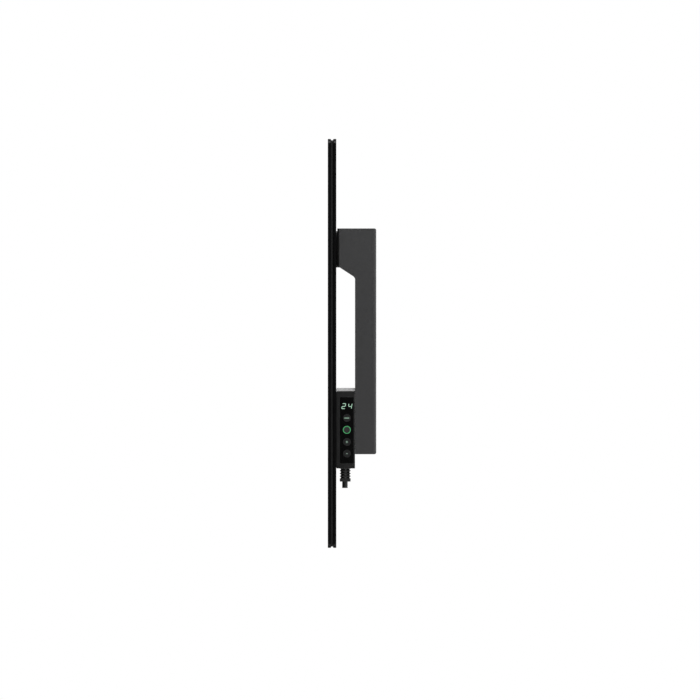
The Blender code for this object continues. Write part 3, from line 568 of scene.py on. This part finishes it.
# lower rest at the left bracket: a moulded block with lightening pockets, and its rubber pad
rest = raw_object("rest_moulding", box(-365.0, -48.75, -142.0, -315.0, -28.2, -98.0))
rounded(rest, 3.0, 5, weights=lambda a, b: 1.0 if abs(a.y - b.y) > 5.0 else 0.3)
bm = bmesh.new()
for x0, x1 in ((-360.5, -342.0), (-338.0, -319.5)):
    add_prism(bm, rounded_rect(x0, -45.0, x1, -32.0, 1.5, 5), "Z", -150.0, -122.0)
    add_prism(bm, rounded_rect(x0, -45.0, x1, -32.0, 1.5, 5), "Z", -118.0, -90.0)
cut(rest, bm)
piece(rest, "pod_plastic", "panel", ["rest_block_left"])
pad = raw_object("rest_pad", prism(rounded_rect(-360.0, -137.0, -320.0, -103.0, 3.0, 6), "Y", -28.15, -26.3))
rounded(pad, 0.5, 3)
bm = bmesh.new()
for k in range(5):
    z = -134.0 + 7.0 * k
    add_prism(bm, rounded_rect(-357.0, z - 0.6, -323.0, z + 0.6, 0.5, 3), "Y", -26.8, -25.0)
cut(pad, bm)
piece(pad, "rubber_black", "panel", ["rest_pad_left"])

# ---------------------------------------------------------------- wall frame
HEAD_Y, COLUMN_Y, TOP_Z, FOOT_Z, HEAD_Z, SLANT_Y, RUN = -45.7, -26.0, 140.6, -135.5, 92.8, -44.7, 1.53
SLANT_END_Z = HEAD_Z - (COLUMN_Y - SLANT_Y) / RUN
WALL = 2.0


def keyhole(x, z, grow=0.0):
    s, e, lift = 4.4 + grow, 9.4 + grow, 14.0
    half = math.asin(s / e)
    points = []
    for k in range(41):
        a = -math.pi / 2 + half + (2 * math.pi - 2 * half) * k / 40
        points.append((x + e * math.cos(a), z + lift + e * math.sin(a)))
    for k in range(21):
        a = math.pi + math.pi * k / 20
        points.append((x + s * math.cos(a), z + s * math.sin(a)))
    return points


outer = [(0.0, TOP_Z), (HEAD_Y, TOP_Z), (HEAD_Y, HEAD_Z), (SLANT_Y, HEAD_Z)]
outer += filleted((COLUMN_Y, SLANT_END_Z), (SLANT_Y, HEAD_Z), (COLUMN_Y, FOOT_Z), 5.0, 10)
outer += [(COLUMN_Y, FOOT_Z), (0.0, FOOT_Z)]
slope = Vector((COLUMN_Y - SLANT_Y, SLANT_END_Z - HEAD_Z)).normalized()
base = Vector((SLANT_Y, HEAD_Z)) + Vector((-slope.y, slope.x)) * WALL
in_head, in_column = (base.y + (y - base.x) * slope.y / slope.x for y in (HEAD_Y + WALL, COLUMN_Y + WALL))
inner = [
    (-WALL, TOP_Z - WALL), (HEAD_Y + WALL, TOP_Z - WALL), (HEAD_Y + WALL, in_head), (COLUMN_Y + WALL, in_column),
    (COLUMN_Y + WALL, FOOT_Z - 5.0), (-WALL, FOOT_Z - 5.0),
]


def bracket_edge(a, b):
    """Share of the widest rounding that an edge of the bracket gets."""
    if abs(a.x - b.x) > 1.0:                                   # across the bracket
        if abs(a.y) < 0.1:
            return 0.75                                        # top and foot at the wall
        if a.z > TOP_Z - 0.1:
            return 0.21
        return 0.17 if a.z < FOOT_Z + 0.1 else 0.0
    if abs(a.y) < 0.1 and abs(b.y) < 0.1:
        return 1.0                                             # upright at the wall
    return 0.18


for side, word in ((1, "right"), (-1, "left")):
    x0, x1 = sorted((side * 310.0, side * 370.0))
    bracket = raw_object(f"bracket_body_{word}", prism(outer, "X", x0, x1))
    rounded(bracket, 3.1, 6, weights=bracket_edge)
    cut(bracket, prism(inner, "X", x0 + WALL, x1 - WALL))
    bm = prism(keyhole(side * STUD_X, STUD_Z), "Y", HEAD_Y - 1.0, HEAD_Y + WALL + 0.8)
    for z in (50.0, -100.0):
        add_prism(bm, circle(side * STUD_X, z, 3.0, 32), "Y", -WALL - 0.8, 1.0)
        add_prism(bm, circle(side * STUD_X, z, 5.5, 40), "Y", COLUMN_Y - 1.0, COLUMN_Y + WALL + 0.8)
    lo, hi = sorted((side * 309.0, side * 312.8))
    for z in (115.0, -110.0):
        add_prism(bm, circle(-7.0, z, 2.9, 24), "X", lo, hi)
    cut(bracket, bm)
    piece(bracket, "powder_grey", "wall_frame", [f"bracket_{word}"])

    pad = raw_object(f"head_buffer_{word}", prism(rounded_rect(x0, HEAD_Z, x1, TOP_Z, 1.2, 5), "Y", -47.7, -45.67))
    rounded(pad, 0.5, 3, weights=lambda a, b: 1.0 if max(a.y, b.y) < -47.6 else 0.0)
    cut(pad, prism(keyhole(side * STUD_X, STUD_Z, 0.8), "Y", -49.0, -45.0))
    piece(pad, "head_pad", "wall_frame", [f"head_pad_{word}"])

    cap = raw_object(f"foot_plug_{word}", box(x0 + 2.25, COLUMN_Y + 2.25, FOOT_Z + 0.2, x1 - 2.25, -2.25, FOOT_Z + 7.0))
    rounded(cap, 0.6, 3)
    bm = box(x0 + 5.0, COLUMN_Y + 5.0, FOOT_Z + 2.2, x1 - 5.0, -5.0, FOOT_Z + 12.0)
    add_prism(bm, rounded_rect(side * STUD_X - 6.0, COLUMN_Y + 4.0, side * STUD_X + 6.0, COLUMN_Y + 6.0, 0.9, 4), "Z", FOOT_Z - 1.0, FOOT_Z + 1.2)
    cut(cap, bm)
    piece(cap, "cap_plastic", "wall_frame", [f"foot_cap_{word}"])

for z, level in ((115.0, "top"), (-110.0, "bottom")):
    bm = bmesh.new()
    reach = 309.7
    shell = rounded_rect(-14.0, z - 15.0, 0.0, z + 15.0, 1.8, 6)
    bore = rounded_rect(-12.5, z - 13.5, -1.5, z + 13.5, 0.4, 6)
    rings = [(shell, -reach), (shell, reach), (bore, reach), (bore, -reach)]
    add_loft(bm, [[P(t, u, v) for u, v in outline] for outline, t in rings], closed=True)
    rail = raw_object(f"cross_rail_{level}", bm)
    piece(rail, "powder_grey", "wall_frame", [f"rail_{level}"])

# ----------------------------------------------------------------------- pod
POD_X0, POD_X1, POD_Z0 = 270.0, 370.0, -152.9
TOP_FACE_Z, TOP_BACK_Z, TOP_FALL = -58.3, -54.4, 40.0
SHELL_Y0, SHELL_Y1 = -46.5, -26.03
FASCIA = (-44.3, -146.6, -27.7, -65.3)
KEY_Y = -36.0
KEY_Z = {"mode": -91.3, "power": -105.7, "plus": -120.5, "minus": -134.8}
BOSSES = [(277.5, -62.0), (277.5, -145.5), (347.5, -64.0), (347.5, -145.5)]
GLAND_X, GLAND_Y = 322.0, -38.1


def pod_outline(inset):
    fall = (TOP_BACK_Z - TOP_FACE_Z) / TOP_FALL
    drop = inset / math.cos(math.atan(fall))
    meet = POD_X1 - TOP_FALL - (drop - inset) / fall
    return [
        (POD_X0 + inset, POD_Z0 + inset), (POD_X1 - inset, POD_Z0 + inset), (POD_X1 - inset, TOP_FACE_Z + inset * fall - drop),
        (meet, TOP_BACK_Z - inset), (POD_X0 + inset, TOP_BACK_Z - inset),
    ]


def pod_edge(a, b):
    at_seam = abs(a.y - b.y) < 0.1 and a.y < SHELL_Y0 + 0.1
    bend = abs(a.x - (POD_X1 - TOP_FALL)) < 0.1 and abs(b.x - a.x) < 0.1
    if at_seam:
        return 0.35
    if min(a.x, b.x) > POD_X1 - 0.1 and min(a.y, b.y) > SHELL_Y1 - 0.1:
        return 0.35
    if bend:
        return 0.0
    return 0.7 if abs(a.y - b.y) > 1.0 else 1.0


shell = raw_object("pod_case", prism(pod_outline(0.0), "Y", SHELL_Y0, SHELL_Y1))
rounded(shell, 0.6, 4, weights=pod_edge)
cut(shell, prism(pod_outline(2.0), "Y", SHELL_Y0 - 3.0, SHELL_Y1 - 2.0))
bm = bmesh.new()
for x, z in BOSSES:
    add_prism(bm, circle(x, z, 4.2, 32), "Y", -43.9, SHELL_Y1 - 1.0)
joined(shell, bm, "UNION")
bm = bmesh.new()
add_prism(bm, rounded_rect(FASCIA[0] - 0.15, FASCIA[1] - 0.15, FASCIA[2] + 0.15, FASCIA[3] + 0.15, 1.75, 6), "X", 367.0, 371.0)
add_prism(bm, circle(GLAND_X, GLAND_Y, 5.5, 40), "Z", POD_Z0 - 1.0, POD_Z0 + 3.0)
for k in range(3):
    x = 290.0 + 5.0 * k
    add_prism(bm, rounded_rect(x - 0.9, -43.0, x + 0.9, -31.0, 0.85, 5), "Z", POD_Z0 - 1.0, POD_Z0 + 3.0)
for x, z in BOSSES:
    add_turned(bm, [(0.0, -50.0), (1.7, -50.0), (1.7, -28.9), (3.1, -28.9), (3.1, -26.7), (3.4, -26.2), (3.4, -25.0), (0.0, -25.0)], "Y", x, z, 32)
cut(shell, bm)
piece(shell, "pod_plastic", "panel", ["pod_shell"])

back = raw_object("pod_back_plate", prism(pod_outline(0.0), "Y", -48.4, -46.51))
rounded(back, 0.5, 3, weights=lambda a, b: 1.0 if abs(a.y - b.y) > 1.0 else 0.35)
joined(back, prism(pod_outline(0.9), "Y", -48.92, -47.6), "UNION")
joined(back, prism(pod_outline(2.25), "Y", -47.7, -45.4), "UNION")
cut(back, prism(pod_outline(3.6), "Y", -46.51, -44.0))
bm = bmesh.new()
for x, z in BOSSES:
    add_prism(bm, circle(x, z, 3.4, 32), "Y", -47.7, -44.3)
joined(back, bm, "UNION")
bm = bmesh.new()
for x, z in BOSSES:
    add_prism(bm, circle(x, z, 1.7, 24), "Y", -47.9, -42.7)
add_prism(bm, circle(345.0, -105.0, 6.0, 40), "Y", -49.7, -45.7)
add_prism(bm, circle(346.0, -84.0, 8.6, 48), "Y", -49.7, -45.7)
cut(back, bm)
piece(back, "pod_plastic", "panel", ["pod_base"])

for number, (x, z) in enumerate(BOSSES, 1):
    profile = [(0.0, -47.2), (0.7, -47.2), (1.35, -46.2), (1.35, -28.7), (1.5, -28.6)] + arc(2.5, -28.35, 0.25, -90, 0) + [(2.75, -27.3)] + arc(1.55, -27.9, 1.2, 10, 60, 4) + [(0.0, -26.7)]
    screw = raw_object(f"case_screw_{number}", turned(profile, "Y", x, z, 40))
    bm = bmesh.new()
    a, b = 1.35, 0.28
    add_prism(bm, [(x + u, z + v) for u, v in ((-a, -b), (-b, -b), (-b, -a), (b, -a), (b, -b), (a, -b), (a, b), (b, b), (b, a), (-b, a), (-b, b), (-a, b))], "Y", -27.9, -26.0)
    cut(screw, bm)
    piece(screw, "zinc_steel", "panel", [f"pod_screw_{number}"])

lens = raw_object("fascia", prism(rounded_rect(*FASCIA, 1.6, 8), "X", 368.2, 369.9))
rounded(lens, 0.35, 3, weights=lambda a, b: 1.0 if min(a.x, b.x) > 369.8 else 0.0)
bm = bmesh.new()
for word, z in KEY_Z.items():
    add_prism(bm, circle(KEY_Y, z, 4.88 if word == "power" else 4.9, 72), "X", 367.0, 371.0)
cut(lens, bm)
piece(lens, "fascia_gloss", "panel", ["fascia_lens"])

z = KEY_Z["power"]
profile = [(3.9, 368.2), (4.72, 368.2), (4.72, 369.8)] + arc(4.5, 369.83, 0.22, 0, 90, 4) + arc(4.12, 369.83, 0.22, 90, 180, 4)
piece(raw_object("power_ring_guide", turned(profile, "X", KEY_Y, z, 96, closed=True)), "ring_green", "panel", ["power_ring"])

for word, z in KEY_Z.items():
    r = 3.6 if word == "power" else 4.75
    profile = [(0.0, 360.6), (1.5, 360.6), (1.6, 360.8), (1.6, 366.1), (1.9, 366.4), (5.3, 366.4), (5.4, 366.5), (5.4, 367.8), (5.3, 367.9), (r, 367.9)]
    profile += arc(r - 0.3, 370.0, 0.3, 0, 90, 5) + [(r - 0.9, 370.26), (r * 0.5, 370.22), (0.0, 370.2)]
    key = raw_object(f"key_cap_{word}", turned(profile, "X", KEY_Y, z, 72))
    piece(key, "power_key" if word == "power" else "key_plastic", f"key_{word}_body", [f"key_{word}"])

MARK_X = (370.12, 370.34)


def mark(name, outline, look, body):
    piece(raw_object(name, prism(outline, "X", *MARK_X)), look, body)


z = KEY_Z["mode"]
mark("key_mark_mode", rounded_rect(KEY_Y - 3.3, z - 0.66, KEY_Y + 2.95, z + 0.66, 0.4, 5), "mark_mode", "key_mode_body")
z, a, b = KEY_Z["plus"], 1.3, 0.38
mark(
    "key_mark_plus",
    [(KEY_Y + u, z + v) for u, v in ((-a, -b), (-b, -b), (-b, -a), (b, -a), (b, -b), (a, -b), (a, b), (b, b), (b, a), (-b, a), (-b, b), (-a, b))],
    "mark_plus", "key_plus_body",
)
z = KEY_Z["minus"]
mark("key_mark_minus", rounded_rect(KEY_Y - 0.95, z - 0.45, KEY_Y + 1.1, z + 0.45, 0.3, 4), "mark_minus", "key_minus_body")


DIGIT_X = (369.86, 369.97)
DIGIT_TOP, DIGIT_MID, DIGIT_LOW, DIGIT_WIDE, DIGIT_LEAN, BAR = -73.62, -77.05, -79.8, 3.9, 1.0, 0.36


def digit(name, y, bars):
    """A leaning seven-bar digit: bars run between the corners of its two boxes, with a small gap at each end."""
    bm = bmesh.new()
    for a, b in bars:
        ends = []
        for side, level in (a, b):
            z = {"t": DIGIT_TOP, "m": DIGIT_MID, "b": DIGIT_LOW}[level]
            lean = DIGIT_LEAN * (z - DIGIT_LOW) / (DIGIT_TOP - DIGIT_LOW)
            ends.append(Vector((y + lean + (DIGIT_WIDE if side == "r" else 0.0), z)))
        p, q = ends
        way = (q - p).normalized()
        left = Vector((-way.y, way.x)) * BAR
        p, q = p + way * 0.07, q - way * 0.07
        outline = [p, p + way * BAR - left, q - way * BAR - left, q, q - way * BAR + left, p + way * BAR + left]
        add_prism(bm, [tuple(c) for c in outline], "X", *DIGIT_X)
    piece(raw_object(name, bm), "digit_light", "panel")


digit("digit_two", -42.3, ["lt rt".split(), "rt rm".split(), "lm rm".split(), "lm lb".split(), "lb rb".split()])
digit("digit_four", -34.45, ["lt lm".split(), "lm rm".split(), "rt rm".split(), "rm rb".split()])

# strain relief: a flange under the pod, flat-sided ribs and a collar; the windows between them show a rounded spine on each face
floor_z = POD_Z0
RELIEF_Y = GLAND_Y + 0.1
LEAD_Y = GLAND_Y - 0.2


def disc(r):
    return (r, r, r)


def grown(section, by):
    return tuple(h + by for h in section)


RIB, GROOVE, COLLAR = (6.0, 6.5, 1.7), (5.55, 5.5, 1.2), (6.1, 6.65, 1.8)
RIB_Z = [-155.7, -159.0, -162.3]
COLLAR_Z, RELIEF_END = -164.85, -168.95
levels = [
    (disc(3.65), floor_z + 4.5), (disc(7.0), floor_z + 4.5), (disc(7.2), floor_z + 4.3), (disc(7.2), floor_z + 2.3),
    (disc(5.0), floor_z + 2.3), (disc(5.0), floor_z - 0.05),
    (grown(RIB, -0.1), floor_z - 0.05), (RIB, floor_z - 0.2), (RIB, floor_z - 0.4), (grown(RIB, -0.3), floor_z - 0.55), (GROOVE, floor_z - 0.65),
]
for z in RIB_Z:
    levels += [(GROOVE, z + 0.82), (grown(RIB, -0.3), z + 0.74), (grown(RIB, -0.09), z + 0.62), (RIB, z + 0.42)]
    levels += [(RIB, z - 0.42), (grown(RIB, -0.09), z - 0.62), (grown(RIB, -0.3), z - 0.74), (GROOVE, z - 0.82)]
levels += [(GROOVE, COLLAR_Z + 0.1), (grown(COLLAR, -0.3), COLLAR_Z), (grown(COLLAR, -0.09), COLLAR_Z - 0.1), (COLLAR, COLLAR_Z - 0.35)]
levels += [(COLLAR, RELIEF_END + 0.55), (grown(COLLAR, -0.12), RELIEF_END + 0.25), (grown(COLLAR, -0.5), RELIEF_END)]
levels += [(disc(3.9), RELIEF_END), (disc(3.65), RELIEF_END + 0.2)]
bm = bmesh.new()
rings = []
for (hx, hy, r), z in levels:
    mid = LEAD_Y if hx == hy else RELIEF_Y
    section = rounded_rect(GLAND_X - hx, mid - hy, GLAND_X + hx, mid + hy, r - 1e-4, 8)
    rings.append([P(x, y, z) for x, y in section])
add_loft(bm, rings, closed=True)
relief = raw_object("cord_relief", bm)
bm = bmesh.new()
spine = [(2.8 + 2.7 * math.cos(math.radians(a)), LEAD_Y + 0.15 + 2.7 * math.sin(math.radians(a))) for a in range(80, -81, -5)]
window = [(8.0, RELIEF_Y - 4.4), (8.0, RELIEF_Y + 4.4), (1.6, RELIEF_Y + 4.4), (1.6, spine[0][1]), *spine, (1.6, spine[-1][1]), (1.6, RELIEF_Y - 4.4)]
for hi, lo in zip([floor_z - 0.6] + [z - 0.76 for z in RIB_Z], [z + 0.76 for z in RIB_Z] + [COLLAR_Z - 0.02]):
    for side in (1, -1):
        add_prism(bm, [(GLAND_X + side * x, y) for x, y in window], "Z", lo, hi)
cut(relief, bm)
piece(relief, "relief_rubber", "panel", ["strain_relief"])
relief.data.materials.append(LOOKS["relief_spine_painted_highlight"])
for face in relief.data.polygons:
    # the rounded faces of the two spines get a paler colour than the ribs: a painted highlight for the light they catch
    at = face.center / MM + Vector((0.0, 0.0, DATUM_Z))
    reach = math.hypot(abs(at.x - GLAND_X) - 2.8, at.y - LEAD_Y - 0.15)
    if abs(face.normal.z) < 0.1 and abs(at.x - GLAND_X) > 2.8 and abs(reach - 2.7) < 0.06 and abs(at.y - LEAD_Y) < 2.9:
        face.material_index = 1

profile = [(2.65, -139.0), (2.65, -176.7), (2.75, -176.8)] + arc(3.1, -176.5, 0.3, -90, 0, 4) + [(3.4, -139.3), (3.3, -139.0)]
piece(raw_object("lead_stub", turned(profile, "Z", GLAND_X, LEAD_Y, 56, closed=True)), "lead_sheath", "panel", ["lead_sheath"])

# copper strands that show at the cut end of each core
spread = 1.15 * 2 / math.sqrt(3) + 0.12
for word, angle in (("live", 210), ("earth", 90), ("neutral", 330)):
    cx, cy = GLAND_X + spread * math.cos(math.radians(angle)), GLAND_Y + spread * math.sin(math.radians(angle))
    bm = bmesh.new()
    for k in range(7):
        r = 0.0 if k == 0 else 0.44
        a = math.radians(60.0 * k)
        add_turned(
            bm, [(0.0, -176.75), (0.12, -176.72), (0.2, -176.62), (0.2, -176.55), (0.0, -176.55)], "Z",
            cx + r * math.cos(a), cy + r * math.sin(a), 12,
        )
    piece(raw_object(f"core_strands_{word}", bm), "busbar_copper", "panel")

# --------------------------------------------------------------------- stage
bm = bmesh.new()
bmesh.ops.create_circle(bm, cap_ends=True, segments=128, radius=1.7)
FLOOR_Z = -0.66
floor = raw_object("studio_floor", bm)
floor.location = (0.0, -0.03, FLOOR_Z)
look = Look("studio_floor", (0.86, 0.86, 0.86), 0.9, spec=0.1)
look.mottled(300.0, 0.01, detail=1.0)
clear = look.add("ShaderNodeBsdfTransparent")
mix = look.add("ShaderNodeMixShader")
length = look.add("ShaderNodeVectorMath", operation="LENGTH")
look.link(look.place, length.inputs[0])
look.link(look.spread(length.outputs["Value"], 0.0, 1.0, at=(0.75, 1.6)), mix.inputs["Fac"])
look.link(look.shader.outputs["BSDF"], mix.inputs[1])
look.link(clear.outputs["BSDF"], mix.inputs[2])
look.link(mix.outputs["Shader"], look.tree.nodes["Material Output"].inputs["Surface"])
floor.data.materials.append(look.mat)
floor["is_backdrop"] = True


def card(name, at, turn, half, lean, fall, top):
    """A pale card that only gloss sees: its light rises to top along lean, and fades out at its sides."""
    bm = bmesh.new()
    bmesh.ops.create_grid(bm, x_segments=1, y_segments=1, size=1.0)
    obj = raw_object(name, bm)
    obj.location = at
    obj.rotation_euler = turn
    obj.scale = (*half, 1.0)
    look = Look(name, (0.0, 0.0, 0.0), 1.0, spec=0.0)
    along_lean = look.add("ShaderNodeVectorMath", operation="DOT_PRODUCT")
    along_lean.inputs[1].default_value = (*lean, 0.0)
    look.link(look.place, along_lean.inputs[0])
    parts = look.add("ShaderNodeSeparateXYZ")
    look.link(look.place, parts.inputs["Vector"])
    steps = [(along_lean.outputs["Value"], fall[0], fall[1], top)]
    for socket in ("X", "Y"):
        size = look.add("ShaderNodeMath", operation="ABSOLUTE")
        look.link(parts.outputs[socket], size.inputs[0])
        steps.append((size.outputs["Value"], 1.0, 0.6, 1.0))
    level = None
    for value, lo, hi, to in steps:
        ease = look.add("ShaderNodeMapRange", interpolation_type="SMOOTHSTEP")
        ease.inputs["From Min"].default_value = lo
        ease.inputs["From Max"].default_value = hi
        ease.inputs["To Max"].default_value = to
        look.link(value, ease.inputs["Value"])
        if level is None:
            level = ease.outputs["Result"]
            continue
        both = look.add("ShaderNodeMath", operation="MULTIPLY")
        look.link(level, both.inputs[0])
        look.link(ease.outputs["Result"], both.inputs[1])
        level = both.outputs["Value"]
    shine = look.add("ShaderNodeEmission")
    look.link(level, shine.inputs["Strength"])
    clear = look.add("ShaderNodeBsdfTransparent")
    total = look.add("ShaderNodeAddShader")
    look.link(shine.outputs["Emission"], total.inputs[0])
    look.link(clear.outputs["BSDF"], total.inputs[1])
    look.link(total.outputs["Shader"], look.tree.nodes["Material Output"].inputs["Surface"])
    obj.data.materials.append(look.mat)
    for kind in ("camera", "diffuse", "shadow", "transmission", "volume_scatter"):
        setattr(obj, f"visible_{kind}", False)
    obj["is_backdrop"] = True


# a soft fall of light in the front glass, and a glint on the polished turns of its corners
card("card_front", (-0.25, -1.3, -0.05), (math.pi / 2, 0.0, 0.0), (0.8, 0.7), (-1.0, 1.0), (-0.6, 1.2), 1.9)
card("card_side", (1.9, -0.05, 0.70), (math.pi / 2, 0.0, math.pi / 2), (0.30, 0.26), (0.0, 1.0), (-1.2, -0.8), 4.0)

# --------------------------------------------------------------------- light
world = bpy.data.worlds.new("studio")
world.use_nodes = True
SCENE.world = world
tree = world.node_tree
tree.nodes.clear()


def wnode(kind, **values):
    node = tree.nodes.new(kind)
    for key, value in values.items():
        setattr(node, key, value)
    return node


def wmath(operation, a, b):
    node = wnode("ShaderNodeMath", operation=operation)
    for socket, value in zip(node.inputs, (a, b)):
        if isinstance(value, (int, float)):
            socket.default_value = value
        else:
            tree.links.new(value, socket)
    return node.outputs["Value"]


def wstep(value, lo, hi, to=1.0, start=0.0):
    node = wnode("ShaderNodeMapRange", interpolation_type="SMOOTHSTEP")
    node.inputs["From Min"].default_value = lo
    node.inputs["From Max"].default_value = hi
    node.inputs["To Min"].default_value = start
    node.inputs["To Max"].default_value = to
    tree.links.new(value, node.inputs["Value"])
    return node.outputs["Result"]


heading = wnode("ShaderNodeSeparateXYZ")
tree.links.new(wnode("ShaderNodeTexCoord").outputs["Generated"], heading.inputs["Vector"])
dx, dy, dz = heading.outputs["X"], heading.outputs["Y"], heading.outputs["Z"]
back = wmath("MULTIPLY", dx, -1.0)
front = wmath("MULTIPLY", dy, -1.0)
glow = wstep(dz, 0.20, 0.90, 0.60, 0.10)
glow = wmath("ADD", glow, wmath("MULTIPLY", wstep(back, 0.25, 0.80, 2.2), wstep(dz, -0.25, 0.05)))
glow = wmath("ADD", glow, wmath("MULTIPLY", wstep(dy, 0.15, 0.75, 1.0), wstep(dz, -0.35, 0.0)))
glow = wmath("ADD", glow, wmath("MULTIPLY", wstep(front, 0.7, 1.0, 0.55), wstep(dz, -0.35, 0.1)))
# a pale ring round the side the keys face, dark in its middle so that upright gloss stays black
ring = wmath("MULTIPLY", wstep(dx, 0.80, 0.92, 0.30), wstep(dx, 0.965, 0.994, 0.0, 1.0))
glow = wmath("ADD", glow, wmath("MULTIPLY", ring, wstep(dz, -0.45, -0.1)))
glow = wmath("MULTIPLY", glow, wstep(dx, 0.965, 0.994, 0.25, 1.0))
# and little from the front quarter on that side
shade = wmath("MULTIPLY", wstep(dx, 0.05, 0.35), wstep(front, 0.02, 0.25))
glow = wmath("MULTIPLY", glow, wmath("SUBTRACT", 1.0, wmath("MULTIPLY", shade, 0.9)))
room = wnode("ShaderNodeBackground")
room.inputs["Color"].default_value = (1.0, 1.0, 1.0, 1.0)
tree.links.new(glow, room.inputs["Strength"])
seen = wnode("ShaderNodeBackground")
seen.inputs["Color"].default_value = (1.0, 1.0, 1.0, 1.0)
seen.inputs["Strength"].default_value = 1.0
ray = wnode("ShaderNodeLightPath")
choose = wnode("ShaderNodeMixShader")
tree.links.new(ray.outputs["Is Camera Ray"], choose.inputs["Fac"])
tree.links.new(room.outputs["Background"], choose.inputs[1])
tree.links.new(seen.outputs["Background"], choose.inputs[2])
tree.links.new(choose.outputs["Shader"], wnode("ShaderNodeOutputWorld").inputs["Surface"])


def softbox(name, at, target, size, watts):
    data = bpy.data.lights.new(name, "AREA")
    data.shape = "RECTANGLE"
    data.size, data.size_y = size
    data.energy = watts
    obj = bpy.data.objects.new(name, data)
    SCENE.collection.objects.link(obj)
    obj.location = at
    obj.rotation_mode = "QUATERNION"
    obj.rotation_quaternion = (Vector(target) - Vector(at)).to_track_quat("-Z", "Y")
    obj.visible_camera = False
    return obj


softbox("softbox_side", (0.95, 0.15, 0.65), (0.37, -0.03, -0.1), (0.8, 0.5), 3.4)
softbox("softbox_top", (-0.2, -0.15, 1.3), (-0.1, -0.05, -0.1), (1.3, 1.0), 6.0)

# -------------------------------------------------------------------- camera
camera = bpy.data.objects.new("camera", bpy.data.cameras.new("camera"))
SCENE.collection.objects.link(camera)
camera.data.type = "ORTHO"
camera.data.ortho_scale = 0.85575
camera.data.clip_start, camera.data.clip_end = 0.05, 20.0
camera.location = (2.5, -0.03215, -0.12307)
camera.rotation_euler = (math.pi / 2, 0.0, math.pi / 2)
SCENE.camera = camera
SCENE.view_settings.view_transform = "Standard"
SCENE.view_settings.look = "None"
SCENE.view_settings.exposure = 0.0
SCENE.view_settings.gamma = 1.0

# ---------------------------------------------------------------------- size
bpy.context.view_layer.update()
lo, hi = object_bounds()
